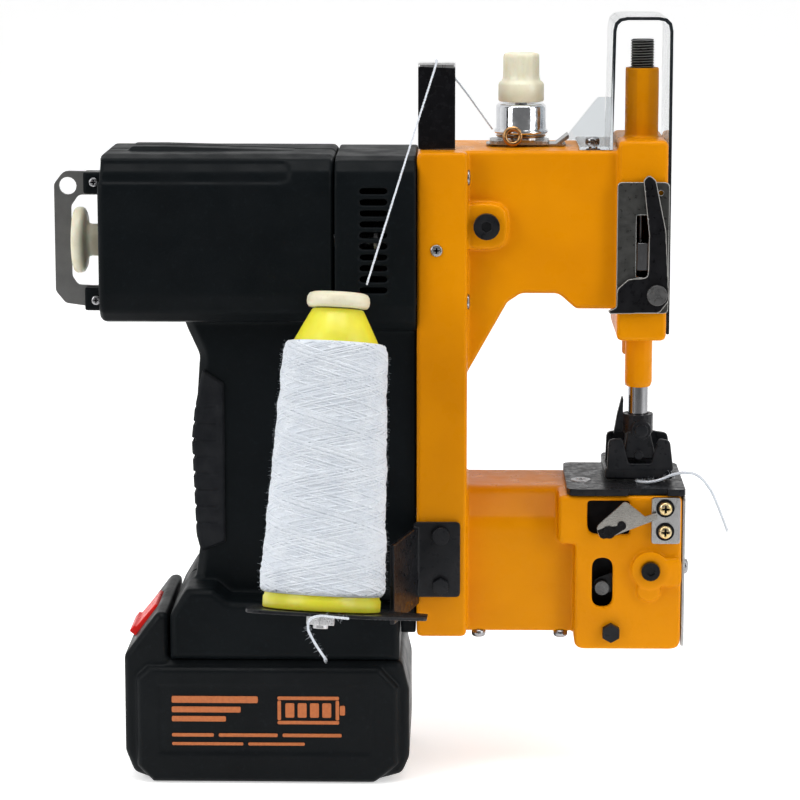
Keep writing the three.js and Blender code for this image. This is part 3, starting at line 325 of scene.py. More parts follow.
def soft_rubber():
    rubber = Finish("soft_rubber", (0.006, 0.007, 0.009), 0.62, Specular_IOR_Level=0.12)
    rubber.tint(rubber.noise(6, 5), (0.014, 0.015, 0.017), 0.6)
    rubber.polish(rubber.noise(5, 4), 0.58, 0.8)
    return rubber.bump(rubber.grains(0.6), 0.06, 0.6).material


def cream_nylon():
    nylon = Finish(
        "cream_nylon", (0.68, 0.65, 0.50), 0.36, Subsurface_Weight=0.25, Subsurface_Scale=0.0015
    )
    nylon.tint(nylon.noise(7, 3), (0.62, 0.58, 0.42), 0.8)
    nylon.tint(nylon.noise(0.9, 3, contrast=(0.62, 0.72)), (0.50, 0.44, 0.28), 0.3)
    nylon.polish(nylon.noise(3, 4), 0.28, 0.46)
    return nylon.bump(nylon.noise(1.2, 3), 0.02, 0.6).material


def bare_steel(name, grey, stretch=(1, 1, 6), smooth=0.22, rough=0.42):
    """Machined or rolled steel, with fine lines along one axis."""
    steel = Finish(name, grey, 0.3, Metallic=1.0)
    steel.tint(steel.noise(0.35, 3, stretch), [0.75 * g for g in grey], 0.3)
    steel.tint(steel.noise(5, 4), [0.8 * g for g in grey], 0.7)
    steel.polish(steel.noise(0.5, 3, stretch), smooth, rough)
    return steel.bump(steel.noise(0.3, 2, stretch), 0.008, 0.4).material


def chrome_plate():
    chrome = Finish("chrome_plate", (0.78, 0.79, 0.81), 0.1, Metallic=1.0)
    chrome.tint(chrome.noise(4, 4), (0.66, 0.67, 0.70), 0.7)
    chrome.polish(chrome.noise(2.5, 5), 0.06, 0.2)
    return chrome.bump(chrome.noise(1.5, 3), 0.01, 0.4).material


def black_oxide():
    oxide = Finish(
        "black_oxide", (0.007, 0.008, 0.010), 0.34, Metallic=0.25, Specular_IOR_Level=0.2
    )
    oxide.tint(oxide.noise(5, 4), (0.016, 0.016, 0.018), 0.7)
    oxide.tint(oxide.noise(0.7, 4, contrast=(0.6, 0.72)), (0.05, 0.046, 0.043), 0.15)
    oxide.polish(oxide.noise(2.5, 5), 0.24, 0.5)
    return oxide.bump(oxide.noise(0.5, 3), 0.012, 0.5).material


def zinc_brass():
    zinc = Finish("zinc_brass", (0.66, 0.49, 0.20), 0.28, Metallic=1.0)
    zinc.tint(zinc.noise(2.5, 4), (0.52, 0.44, 0.30), 0.8)
    zinc.polish(zinc.noise(1.5, 4), 0.2, 0.4)
    return zinc.bump(zinc.noise(0.6, 3), 0.01, 0.5).material


def clear_acrylic():
    acrylic = Finish(
        "clear_acrylic", (0.70, 0.73, 0.75), 0.04, Transmission_Weight=1.0, IOR=1.49
    )
    acrylic.polish(acrylic.noise(12, 5), 0.02, 0.12)
    return acrylic.bump(acrylic.noise(14, 2), 0.05, 0.3).material


def cone_plastic():
    cone = Finish(
        "cone_plastic", (0.70, 0.66, 0.035), 0.34, Subsurface_Weight=0.3, Subsurface_Scale=0.003
    )
    cone.tint(cone.noise(12, 3), (0.60, 0.55, 0.025), 0.8)
    cone.polish(cone.noise(5, 4), 0.28, 0.44)
    return cone.bump(cone.noise(2, 3), 0.02, 0.6).material


def white_polyester():
    """Spun thread: nearly white, matt, with a soft sheen and a fine twist."""
    thread = Finish("white_polyester", (0.66, 0.69, 0.73), 0.85, Sheen_Weight=0.25)
    thread.tint(thread.noise(7, 4), (0.55, 0.59, 0.65), 0.6)
    thread.tint(thread.noise(0.5, 3), (0.48, 0.52, 0.58), 0.4)
    return thread.bump(thread.noise(0.35, 3), 0.05, 0.6).material


def red_plastic():
    red = Finish("red_plastic", (0.72, 0.012, 0.008), 0.34, Specular_IOR_Level=0.15)
    red.tint(red.noise(6, 3), (0.60, 0.010, 0.008), 0.8)
    red.polish(red.noise(4, 4), 0.26, 0.42)
    return red.bump(red.grains(0.5), 0.02, 0.5).material


def dark_metal(name, grey, metallic, roughness, edge_highlight=None):
    """Blackened or bronzed metal; on finely meshed pieces its outer edges can carry a painted highlight.
    """
    metal = Finish(name, grey, roughness, Metallic=metallic, Specular_IOR_Level=0.15)
    metal.tint(metal.noise(4, 4), [1.6 * g for g in grey], 0.7)
    if edge_highlight is not None:
        # Painted highlight: pointy outer edges are tinted lighter, standing in for light caught by the
        # edges.
        edges = metal.tree.nodes.new("ShaderNodeNewGeometry").outputs["Pointiness"]
        metal.tint(metal.spread(edges, 0.508, 0.545), edge_highlight, 0.85)
    metal.polish(metal.noise(2, 5), roughness - 0.08, roughness + 0.12)
    return metal.bump(metal.noise(0.6, 3), 0.012, 0.5).material


def cell_wrap():
    wrap = Finish("cell_wrap", (0.05, 0.18, 0.35), 0.3)
    wrap.tint(wrap.noise(9, 3), (0.03, 0.12, 0.26), 0.8)
    wrap.polish(wrap.noise(6, 4), 0.2, 0.4)
    return wrap.bump(wrap.noise(3, 2), 0.05, 0.5).material


def label_print():
    ink = Finish("label_print", (0.46, 0.125, 0.025), 0.5)
    ink.tint(ink.noise(1.2, 4), (0.36, 0.09, 0.018), 0.7)
    ink.polish(ink.noise(2, 3), 0.42, 0.6)
    return ink.bump(ink.grains(0.4), 0.01, 0.4).material


LOOK = {
    "yellow": yellow_enamel(),
    "shell": black_nylon("black_shell", (0.0030, 0.0042, 0.0050), 0.45, 0.55),
    "battery": black_nylon("battery_shell", (0.0048, 0.0058, 0.0066), 0.36, 0.7),
    "rubber": soft_rubber(),
    "cream": cream_nylon(),
    "steel": bare_steel("bare_steel", (0.52, 0.52, 0.53)),
    "plate_steel": bare_steel("plate_steel", (0.40, 0.40, 0.40), (1, 1, 5), 0.24, 0.46),
    "blade": bare_steel("ground_blade", (0.34, 0.325, 0.30), (5, 1, 1), 0.2, 0.38),
    "chrome": chrome_plate(),
    "oxide": black_oxide(),
    "brass": zinc_brass(),
    "acrylic": clear_acrylic(),
    "cone": cone_plastic(),
    "thread": white_polyester(),
    "red": red_plastic(),
    "wrap": cell_wrap(),
    "print": label_print(),
    # Black metal with a painted highlight on its outer edges.
    "black_lit_edges": dark_metal("black_lit_edges", (0.005, 0.005, 0.006), 0.2, 0.34, (0.42, 0.41, 0.39)),
    "gloss_black": dark_metal("gloss_black", (0.005, 0.005, 0.006), 0.25, 0.2),
    "bar_steel": bare_steel("bar_steel", (0.30, 0.30, 0.31), (1, 1, 6), 0.1, 0.2),
    "screw_steel": bare_steel("screw_steel", (0.34, 0.34, 0.35), (1, 1, 1), 0.2, 0.4),
    "hanger_steel": bare_steel("hanger_steel", (0.20, 0.20, 0.195), (1, 1, 1), 0.34, 0.5),
    "bronze": dark_metal("bronze", (0.34, 0.19, 0.08), 1.0, 0.3),
    # Grey plate with a painted highlight on its outer edges.
    "grey_plate": dark_metal("grey_plate", (0.046, 0.046, 0.044), 0.5, 0.34, (0.50, 0.50, 0.48)),
    "grey_pin": dark_metal("grey_pin", (0.085, 0.085, 0.085), 0.6, 0.3),
    "cut_edge": dark_metal("cut_edge", (0.012, 0.014, 0.016), 0.0, 0.25),
}


# ---------------------------------------------------------------- the CAD nodes' own surfaces


def dress(node, look):
    """Gives a CAD node its material and smooth shading."""
    piece = NODES[node]
    piece.data.materials.clear()
    piece.data.materials.append(LOOK[look])
    if "custom_normal" in piece.data.attributes:
        piece.data.attributes.remove(piece.data.attributes["custom_normal"])
    piece.data.polygons.foreach_set("use_smooth", [True] * len(piece.data.polygons))
    return piece


WELD_GAP = 0.002
FLAT_ANGLE = 0.6  # faces within this many degrees of each other become one
EDGE_ANGLE = 28  # edges sharper than this many degrees are broken
FACE_WEIGHT = 80


def soften(node, look, voxel, passes):
    """A cast or moulded surface: every edge rounded by smoothing a fine even skin."""
    piece = dress(node, look)
    skin = piece.modifiers.new("skin", "REMESH")
    skin.mode = "VOXEL"
    skin.voxel_size = voxel * MM
    skin.use_smooth_shade = True
    ease = piece.modifiers.new("ease", "SMOOTH")
    ease.factor = 0.5
    ease.iterations = passes


def chamfer(node, look, width=0.25):
    """A machined or pressed surface: flat faces with a small broken edge."""
    piece = dress(node, look)
    weld = piece.modifiers.new("weld", "WELD")
    weld.merge_threshold = WELD_GAP * MM
    plain = piece.modifiers.new("plain", "DECIMATE")
    plain.decimate_type = "DISSOLVE"
    plain.angle_limit = math.radians(FLAT_ANGLE)
    edge = piece.modifiers.new("edge", "BEVEL")
    edge.width = width * MM
    edge.segments = 2
    edge.limit_method = "ANGLE"
    edge.angle_limit = math.radians(EDGE_ANGLE)
    edge.use_clamp_overlap = True
    edge.harden_normals = False
    even = piece.modifiers.new("even", "WEIGHTED_NORMAL")
    even.keep_sharp = False
    even.weight = FACE_WEIGHT


def two_tone(node, first, second, picked, width=0.25):
    """A machined piece with a second material on the faces that picked(centre in mm, normal) accepts."""
    chamfer(node, first, width)
    piece = NODES[node]
    piece.data.materials.append(LOOK[second])
    piece.modifiers["plain"].delimit = {"MATERIAL"}
    place = piece.matrix_world
    for face in piece.data.polygons:
        centre = place @ face.center / MM
        face.material_index = int(picked(centre, place.to_3x3() @ face.normal))


# ---------------------------------------------------------------- making pieces


def new_piece(name, mesh, look, body, smooth=True):
    """Adds a mesh as a named piece that rides on a CAD body."""
    if smooth:
        mesh.polygons.foreach_set("use_smooth", [True] * len(mesh.polygons))
    piece = bpy.data.objects.new(name, mesh)
    bpy.context.scene.collection.objects.link(piece)
    piece.data.materials.append(LOOK[look])
    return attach(piece, body)


def mesh_of(name, points, faces):
    mesh = bpy.data.meshes.new(name)
    mesh.from_pydata([tuple(p) for p in points], [], faces)
    mesh.update()
    return mesh


def frame_of(centre, axis, up=Vector((0, 0, 1))):
    """A matrix whose Z runs along an axis through a point."""
    z = Vector(axis).normalized()
    x = up.cross(z)
    if x.length < 0.01:
        x = Vector((1, 0, 0)).cross(z)
    x.normalize()
    y = z.cross(x)
    turn = Matrix((x, y, z)).transposed().to_4x4()
    return Matrix.Translation(centre) @ turn


def turned(name, profile, place, sides=64):
    """A closed body of revolution: (radius, height) pairs in millimetres about the Z of a matrix."""
    points = []
    faces = []
    rings = []
    for radius, height in profile:
        if radius < 1e-6:
            rings.append([len(points)])
            points.append(place @ mm(0, 0, height))
            continue
        rings.append(list(range(len(points), len(points) + sides)))
        for i in range(sides):
            angle = 2 * math.pi * i / sides
            points.append(place @ mm(radius * math.cos(angle), radius * math.sin(angle), height))
    for first, second in zip(rings, rings[1:]):
        for i in range(sides):
            j = (i + 1) % sides
            corners = [first[i % len(first)], first[j % len(first)]]
            corners += [second[j % len(second)], second[i % len(second)]]
            face = list(dict.fromkeys(corners))
            if len(face) > 2:
                faces.append(face)
    return mesh_of(name, points, faces)


def rails(path):
    """For each point of a path, two directions square to it that follow it without a twist."""
    side = Vector((0, 0, 1))
    last = len(path) - 1
    for i in range(len(path)):
        ahead = (path[min(i + 1, last)] - path[max(i - 1, 0)]).normalized()
        side = side - ahead * side.dot(ahead)
        if side.length < 1e-4:
            side = ahead.orthogonal()
        side.normalize()
        yield side, ahead.cross(side)


def tube(name, path, radius, sides=10, taper=None):
    """A closed round tube along points in metres; taper gives the radius share at each point."""
    points = []
    faces = []
    count = len(path)
    for i, (side, across) in enumerate(rails(path)):
        here = path[i]
        size = radius * (taper[i] if taper else 1)
        for k in range(sides):
            angle = 2 * math.pi * k / sides
            points.append(here + (side * math.cos(angle) + across * math.sin(angle)) * size)
    for i in range(count - 1):
        for k in range(sides):
            a = i * sides + k
            b = i * sides + (k + 1) % sides
            faces.append((a, b, b + sides, a + sides))
    faces.append(tuple(reversed(range(sides))))
    faces.append(tuple(range((count - 1) * sides, count * sides)))
    return mesh_of(name, points, faces)


def curve_through(points, steps=12):
    """Catmull-Rom points through given points, in metres."""
    ends = [points[0] * 2 - points[1], *points, points[-1] * 2 - points[-2]]
    result = []
    for i in range(1, len(ends) - 2):
        a, b, c, d = ends[i - 1 : i + 3]
        for step in range(steps):
            t = step / steps
            result.append(
                0.5
                * (
                    b * 2
                    + (c - a) * t
                    + (a * 2 - b * 5 + c * 4 - d) * t**2
                    + (b * 3 - a - c * 3 + d) * t**3
                )
            )
    result.append(points[-1].copy())
    return result


# ---------------------------------------------------------------- threads

THREAD_WIDTH = 1.0 * MM
CHAIN_WIDTH = 1.2 * MM
PLIES = 3
PLY_SHARE = 0.56
FIBRE_WIDTH = 0.09 * MM
FIBRE_SEED = 5
FRAYED_FIBRES = 40
FRAYED_LEAN = 2.2
UPPER_ROUTE = [
    mm(43.3, -62.4, 208.6),
    mm(52, -49, 236),
    mm(60.6, -36, 263),
    mm(69.2, -22.8, 289.4),
    mm(69.8, -20, 292.2),
    mm(69.9, -16.2, 292.2),
    mm(70.6, -14.8, 289),
    mm(77.8, -13, 284.4),
    mm(92.4, -9.4, 264.4),
]
CHAIN_ROUTE = [
    mm(151.5, -15.2, 121.75),
    mm(153.2, -18.3, 121.8),
    mm(156.5, -19.9, 122),
    mm(161, -20, 123),
    mm(166, -19.6, 125),
    mm(171, -19.3, 125.8),
    mm(176.5, -19, 124.4),
    mm(181.5, -18.8, 118.6),
    mm(185, -18.6, 111),
    mm(188.5, -18.6, 102),
]
CONE_ROUTE = [
    mm(38, -117, 89.6),
    mm(33, -118.2, 90.4),
    mm(27, -118.6, 91),
    mm(23.4, -118.8, 89.6),
    mm(22.8, -118.8, 86),
    mm(24, -118.6, 83),
    mm(25.8, -118.4, 79.6),
    mm(29, -118.2, 74.6),
]


def twisted_thread(name, route, width, pitch):
    """A thread of three plies twisted round its route, as one mesh with its centre line."""
    path = curve_through(route, 24)
    strands = bmesh.new()
    radius = width / 2
    ply = radius * PLY_SHARE
    travelled = [0.0]
    for a, b in zip(path, path[1:]):
        travelled.append(travelled[-1] + (b - a).length)
    for k in range(PLIES):
        line = []
        for i, (side, across) in enumerate(rails(path)):
            turn = 2 * math.pi * (travelled[i] / pitch + k / PLIES)
            offset = side * math.cos(turn) + across * math.sin(turn)
            line.append(path[i] + offset * (radius - ply))
        strands.from_mesh(tube(name, line, ply, 8))
    mesh = bpy.data.meshes.new(name)
    strands.to_mesh(mesh)
    strands.free()
    return mesh, path


def fuzz(name, roots, length, width, seed):
    """Fine stray fibres standing off a thread: roots are (point, outward direction) pairs."""
    dice = random.Random(seed)
    hairs = bmesh.new()
    for root, out in roots:
        bend = Vector([dice.uniform(-1, 1) for _ in range(3)])
        reach = length * dice.uniform(0.35, 1.0)
        tip = root + (out + bend * 0.7).normalized() * reach
        knee = (root + tip) / 2 + bend * reach * 0.25
        line = curve_through([root, knee, tip], 3)
        size = [1 - 0.7 * i / (len(line) - 1) for i in range(len(line))]
        hairs.from_mesh(tube(name, line, width / 2, 3, size))
    mesh = bpy.data.meshes.new(name)
    hairs.to_mesh(mesh)
    hairs.free()
    return mesh


def along(path, count, seed):
    """Points and sideways directions spread at random over a path."""
    dice = random.Random(seed)
    result = []
    for _ in range(count):
        i = dice.randrange(1, len(path) - 1)
        ahead = (path[i + 1] - path[i - 1]).normalized()
        out = Vector([dice.uniform(-1, 1) for _ in range(3)])
        out = (out - ahead * out.dot(ahead)).normalized()
        result.append((path[i] + (path[i + 1] - path[i]) * dice.random(), out))
    return result


THREADS = (  # name, CAD node, route, width, twist pitch, far end, lay, then fibres: count, length, seed
    ("sewing_thread", "upper_thread", UPPER_ROUTE, THREAD_WIDTH, 3.2, "object", "taut", 260, 0.9, 12),
    ("chain_of_stitches", "chain_tail", CHAIN_ROUTE, CHAIN_WIDTH, 4.0, "bare", "hanging", 190, 2.4, 10),
    ("thread_end", "cone_tail", CONE_ROUTE, THREAD_WIDTH, 3.0, "bare", "hanging", 90, 2.6, 9),
)


def make_threads():
    """The three loose threads, each with its stray fibres; a bare end is frayed."""
    for name, node, route, width, pitch, end, lay, fibres, reach, seed in THREADS:
        mesh, path = twisted_thread(name, route, width, pitch * MM)
        thread = new_piece(name, mesh, "thread", FRAME_BODY)
        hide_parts(node)
        roots = along(path, fibres, seed)
        if end == "bare":
            tail = (path[-1] - path[-4]).normalized()
            roots += [(path[-3], tail * FRAYED_LEAN) for _ in range(FRAYED_FIBRES)]
        fluff_mesh = fuzz(name + "_fluff", roots, reach * MM, FIBRE_WIDTH, FIBRE_SEED)
        fluff = new_piece(name + "_fluff", fluff_mesh, "thread", FRAME_BODY)
        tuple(route[0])


# ---------------------------------------------------------------- screws, rings and washers


def weld(mesh):
    """Joins points that lie on each other and turns every face outwards."""
    work = bmesh.new()
    work.from_mesh(mesh)
    bmesh.ops.remove_doubles(work, verts=work.verts, dist=0.0005 * MM)
    bmesh.ops.recalc_face_normals(work, faces=work.faces)
    work.to_mesh(mesh)
    work.free()


def slab(name, outlines, front, back):
    """Flat plates facing the operator: XZ outlines in millimetres between two Y planes."""
    points = []
    faces = []
    for outline in outlines:
        start, count = len(points), len(outline)
        points += [mm(x, front, z) for x, z in outline]
        points += [mm(x, back, z) for x, z in outline]
        faces.append(tuple(range(start, start + count)))
        faces.append(tuple(reversed(range(start + count, start + 2 * count))))
        for i in range(count):
            a, b = start + i, start + (i + 1) % count
            faces.append((b, a, a + count, b + count))
    mesh = mesh_of(name, points, faces)
    weld(mesh)
    return mesh


def bar(x0, x1, z0, z1, corner=0.5, steps=3):
    """A rectangle with round corners, as an XZ outline."""
    result = []
    for cx, cz, start in (
        (x1 - corner, z1 - corner, 0),
        (x0 + corner, z1 - corner, 90),
        (x0 + corner, z0 + corner, 180),
        (x1 - corner, z0 + corner, 270),
    ):
        for step in range(steps + 1):
            angle = math.radians(start + 90 / steps * step)
            result.append((cx + corner * math.cos(angle), cz + corner * math.sin(angle)))
    return result


HEAD_SIDES = 72
HEAD_RINGS = 20
HEAD_SEAT = 0.4  # how far a head reaches into the piece it is screwed to
HEX_SLOPE = 0.866  # the sine of 60 degrees


def recess_share(drive, x, y):
    """How deep the drive recess is, from 0 to 1, at a point given in head radii."""
    if drive == "plain":
        return 0.0
    if drive == "hex":
        across = max(abs(x), abs(x / 2 + y * HEX_SLOPE), abs(x / 2 - y * HEX_SLOPE))
        return min(max((0.5 - across) / 0.06, 0), 1)
    arm = min(max((0.17 - min(abs(x), abs(y))) / 0.08, 0), 1)
    return arm * min(max((0.66 - max(abs(x), abs(y))) / 0.25, 0), 1)


def screw_head(name, centre, axis, radius, rise, drive, look, body=FRAME_BODY, shank=None):
    """A round head with its drive recess pressed in; shank is (radius, length) in millimetres."""
    place = frame_of(centre, axis)
    depth = rise * 0.8
    points = [place @ mm(0, 0, rise - depth * recess_share(drive, 0, 0))]
    for ring in range(1, HEAD_RINGS + 1):
        share = ring / HEAD_RINGS
        dome = rise * (0.45 + 0.55 * math.sqrt(1 - share**3))
        for k in range(HEAD_SIDES):
            angle = 2 * math.pi * k / HEAD_SIDES
            x, y = share * math.cos(angle), share * math.sin(angle)
            height = dome - depth * recess_share(drive, x, y)
            points.append(place @ mm(radius * x, radius * y, height))
    rims = [(radius, -HEAD_SEAT)]
    if shank is not None:
        rims = [(radius, 0), (shank[0], 0), (shank[0], -shank[1])]
    for reach, height in rims:
        for k in range(HEAD_SIDES):
            angle = 2 * math.pi * k / HEAD_SIDES
            points.append(place @ mm(reach * math.cos(angle), reach * math.sin(angle), height))
    faces = [(0, 1 + k, 1 + (k + 1) % HEAD_SIDES) for k in range(HEAD_SIDES)]
    for ring in range(HEAD_RINGS + len(rims) - 1):
        start = 1 + ring * HEAD_SIDES
        for k in range(HEAD_SIDES):
            after = (k + 1) % HEAD_SIDES
            faces.append(
                (start + k, start + HEAD_SIDES + k, start + HEAD_SIDES + after, start + after)
            )
    last = len(points) - HEAD_SIDES
    faces.append(tuple(reversed(range(last, last + HEAD_SIDES))))
    piece = new_piece(name, mesh_of(name, points, faces), look, body)
    # Painted shade: the faces deep in the drive recess take gloss black, for the shade inside the recess.
    piece.data.materials.append(LOOK["gloss_black"])
    inverse = place.inverted()
    for face in piece.data.polygons:
        spot = inverse @ face.center / MM
        recess_shade = spot.z > 0 and recess_share(drive, spot.x / radius, spot.y / radius) > 0.55
        face.material_index = int(recess_shade)
    return piece


def torus(name, centre, axis, ring_radius, wire_radius, look, body=FRAME_BODY):
    """A closed wire ring, its radii in millimetres."""
    steps = 16
    profile = []
    for i in range(steps + 1):
        angle = -2 * math.pi * i / steps
        profile.append(
            (ring_radius + wire_radius * math.cos(angle), -wire_radius * math.sin(angle))
        )
    mesh = turned(name, profile, frame_of(centre, axis))
    weld(mesh)
    return new_piece(name, mesh, look, body)


SCREWS = (  # name, centre, direction, radius, rise, drive, look
    ("column_screw", (70.1, -32, 218), (0, -1, 0), 2.4, 1.0, "cross", "screw_steel"),
    ("hanger_screw_upper", (-69.3, -5, 242.1), (0, -1, 0), 1.9, 0.9, "cross", "screw_steel"),
    ("hanger_screw_lower", (-69, -5, 193.7), (0, -1, 0), 1.9, 0.9, "cross", "screw_steel"),
    ("guard_screw", (133, 0, 258.6), (0, 0, 1), 2.9, 2.0, "cross", "screw_steel"),
    ("plate_screw", (129.2, -11, 121), (0, 0, 1), 4.1, 0.3, "cross", "screw_steel"),
    ("plate_hole_plug", (129.8, -25, 121), (0, 0, 1), 2.2, 0.12, "hex", "gloss_black"),
    ("cover_screw", (170.9, -20, 87.2), (1, 0, 0), 3.0, 1.9, "cross", "screw_steel"),
    ("edge_screw_upper", (82.5, -28, 246.7), (1, 0, 0), 3.1, 1.0, "cross", "screw_steel"),
    ("edge_screw_lower", (82.5, -28, 197), (1, 0, 0), 3.1, 1.0, "cross", "screw_steel"),
    ("arm_screw_left", (87.6, -20, 60), (0, 0, -1), 2.9, 2.8, "cross", "screw_steel"),
    ("arm_screw_right", (121, -20, 60), (0, 0, -1), 2.9, 2.8, "cross", "screw_steel"),
)


def make_screws():
    """The small screws that only the Blender model has, and the knife screws on their washers."""
    for name, centre, axis, radius, rise, drive, look in SCREWS:
        screw_head(name, mm(*centre), axis, radius, rise, drive, look)
    for name, node in (
        ("knife_washer_upper", "knife_screw_upper"),
        ("knife_washer_lower", "knife_screw_lower"),
    ):
        centre = middle(node)
        centre.y = low("fixed_knife").y
        head = screw_head(
            node + "_head", centre - mm(0, 0.3, 0), (0, -1, 0), 2.7, 2.3, "cross", "brass",
            shank=(1.5, 7.4),
        )
        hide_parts(node)
        ring = [(1.9, 0), (3.7, 0), (3.7, 0.28), (1.9, 0.28), (1.9, 0)]
        mesh = turned(name, ring, frame_of(centre, (0, -1, 0)))
        weld(mesh)
        new_piece(name, mesh, "gloss_black", FRAME_BODY, smooth=False)


# ---------------------------------------------------------------- head fittings


def make_pressure_screw():
    """A fine helical thread with a flat, broken-edged top."""
    bottom = low("pressure_screw")
    top = high("pressure_screw")
    centre = Vector(((bottom.x + top.x) / 2, (bottom.y + top.y) / 2, bottom.z))
    place = Matrix.Translation(centre)
    length = (top.z - bottom.z) / MM
    radius, cut, pitch, plain = 4.9, 0.72, 1.05, 7.6
    lead_in, slope = 0.6, 1.2
    sides, per_turn = 64, 14
    count = int(length / pitch * per_turn)
    points = []
    for i in range(count + 1):
        height = length * i / count
        for k in range(sides):
            turn = height / pitch - k / sides
            groove = abs(2 * (turn - math.floor(turn)) - 1) * cut
            if height < plain:
                groove = cut
            if height > length - lead_in:
                groove = max(groove, (height - length + lead_in) * slope)
            angle = 2 * math.pi * k / sides
            reach = radius - groove
            points.append(place @ mm(reach * math.cos(angle), reach * math.sin(angle), height))
    faces = []
    for i in range(count):
        for k in range(sides):
            a, b = i * sides + k, i * sides + (k + 1) % sides
            faces.append((a, b, b + sides, a + sides))
    faces.append(tuple(reversed(range(sides))))
    faces.append(tuple(range(count * sides, (count + 1) * sides)))
    mesh = mesh_of("pressure_thread", points, faces)
    piece = new_piece("pressure_thread", mesh, "black_lit_edges", "pressure_screw", smooth=False)
    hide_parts("pressure_screw")


def make_handwheel():
    """The smooth thick wheel on the rear end of the motor shaft, with its thinner hub."""
    start = middle("handwheel")
    start.x = low("handwheel").x
    profile = [
        (0, 0.8), (8, 0.4), (11.5, 0), (12.8, 0.4), (13.5, 1.4), (13.5, 3.4), (12.9, 4.5), (11.6, 5.2),
        (8.5, 5.6), (7, 6.2), (6.6, 7.4), (6.6, 11.5), (2.9, 11.5), (2.9, 8.2), (0, 8.2),
    ]
    mesh = turned("rear_wheel", profile, frame_of(start, (1, 0, 0)), sides=96)
    weld(mesh)
    piece = new_piece("rear_wheel", mesh, "cream", "motor_rotor")
    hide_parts("handwheel")


def make_presser_spring():
    """The open coil over the presser bar, fixed to the frame."""
    bottom, top = low("presser_spring"), high("presser_spring")
    centre = (bottom + top) / 2
    wire, coil, turns, steps = 0.6, 4.0, 6.5, 28
    inset = 0.7 * MM
    count = int(turns * steps)
    path = []
    for i in range(count + 1):
        angle = 2 * math.pi * i / steps
        height = bottom.z + inset + (top.z - bottom.z - 2 * inset) * i / count
        flat = Vector((math.cos(angle), math.sin(angle), 0)) * coil * MM
        path.append(Vector((centre.x, centre.y, height)) + flat)
    piece = new_piece("foot_spring", tube("foot_spring", path, wire * MM, 10), "screw_steel", FRAME_BODY)
    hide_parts("presser_spring")
    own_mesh(piece)


FLUTES = 14
FLUTE_DEPTH = 0.045
FLUTES_START, FLUTES_RISE = 8.2, 2.0
FLUTES_END, FLUTES_FALL = 19.6, 0.8


def make_tension_knob():
    """The knob's grip with shallow flutes round its upper part."""
    base = middle("tension_knob")
    base.z = low("tension_knob").z
    place = Matrix.Translation(base)
    profile = [
        (2.8, 0), (8.9, 0), (9.25, 0.4), (9.25, 6.8), (8.9, 7.6), (7.9, 8.3), (7.5, 9.2), (7.35, 10.5),
        (7.3, 13.5), (7.3, 17.6), (7.15, 18.7), (6.6, 19.3), (5.4, 19.5), (3.6, 19.5), (0, 19.5),
    ]
    mesh = turned("tension_grip", profile, place, sides=144)
    for point in mesh.vertices:
        away = point.co - base
        height = away.z / MM
        share = min(max((height - FLUTES_START) / FLUTES_RISE, 0), 1)
        share *= min(max((FLUTES_END - height) / FLUTES_FALL, 0), 1)
        angle = math.atan2(away.y, away.x)
        keep = 1 - FLUTE_DEPTH * share * abs(math.sin(FLUTES * angle / 2)) ** 2
        point.co = Vector((base.x + away.x * keep, base.y + away.y * keep, point.co.z))
    piece = new_piece("tension_grip", mesh, "cream", "tension_knob")
    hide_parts("tension_knob")


def make_tension_cup():
    """The bright turned cup between the tension discs and the knob."""
    centre = middle("tension_cup")
    centre.z = low("tension_cup").z
    profile = [
        (2.8, 0), (10.6, 0), (11, 0.4), (11, 1.1), (10.4, 1.7), (10.2, 2.3), (10.2, 10.6),
        (9.9, 11.3), (9.3, 11.9), (8.4, 11.9), (7.8, 11.3), (5.5, 11), (2.8, 11), (2.8, 0),
    ]
    mesh = turned("bright_cup", profile, Matrix.Translation(centre), sides=96)
    weld(mesh)
    piece = new_piece("bright_cup", mesh, "chrome", FRAME_BODY)
    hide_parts("tension_cup")


def make_tension_rings():
    """The bronze thread eye in front of the discs and the bronze disc under the cup."""
    torus("thread_eye", mm(100.5, -10.6, 261.6), (0.1, -1, 0.1), 3.1, 1.0, "bronze")
    disc = [(5.2, 0), (9.9, 0), (10.2, 0.25), (9.9, 0.5), (5.2, 0.9), (5.2, 0)]
    mesh = turned("bronze_disc", disc, Matrix.Translation(mm(104, 0, 260.9)))
    weld(mesh)
    new_piece("bronze_disc", mesh, "bronze", FRAME_BODY)


def make_inner_shade_sheet():
    """A near-black sheet seen through the windows of the sewing head: painted shade for the inside of the
    head.
    """
    outline = bar(130, 149.3, 58, 114, corner=3, steps=6)
    mesh = slab("inner_shade_sheet", [outline], -19.5, -19.0)
    new_piece("inner_shade_sheet", mesh, "rubber", FRAME_BODY, smooth=False)


# ---------------------------------------------------------------- battery label

LABEL_FACE = -37.0
LABEL_PROUD = 0.25
LABEL_SUNK = 0.2


def make_label():
    """Generic orange marks: a charge gauge and rows of plain bars, with no lettering."""
    marks = [
        bar(-37, -2, 33.4, 36.2), bar(-37, -9, 29.4, 31.8), bar(-37, -15, 25.6, 27.8),
        bar(-37, -20, 19.2, 20.6), bar(-18, 6, 19.2, 20.6), bar(8, 32, 19.2, 20.6),
        bar(-37, -8, 15.6, 16.8), bar(-6, 17, 15.6, 16.8),
        bar(6, 31, 34.8, 36.2), bar(6, 31, 24.6, 26.0), bar(6, 7.4, 26.3, 34.5),
        bar(29.6, 31, 26.3, 34.5), bar(31.3, 33.4, 28.4, 32.4),
    ]
    marks += [bar(9.2 + 5 * i, 12.8 + 5 * i, 27.4, 33.4) for i in range(4)]
    mesh = slab("label_marks", marks, LABEL_FACE - LABEL_PROUD, LABEL_FACE + LABEL_SUNK)
    new_piece("label_marks", mesh, "print", "battery", smooth=False)


# ---------------------------------------------------------------- thread wound on the cone

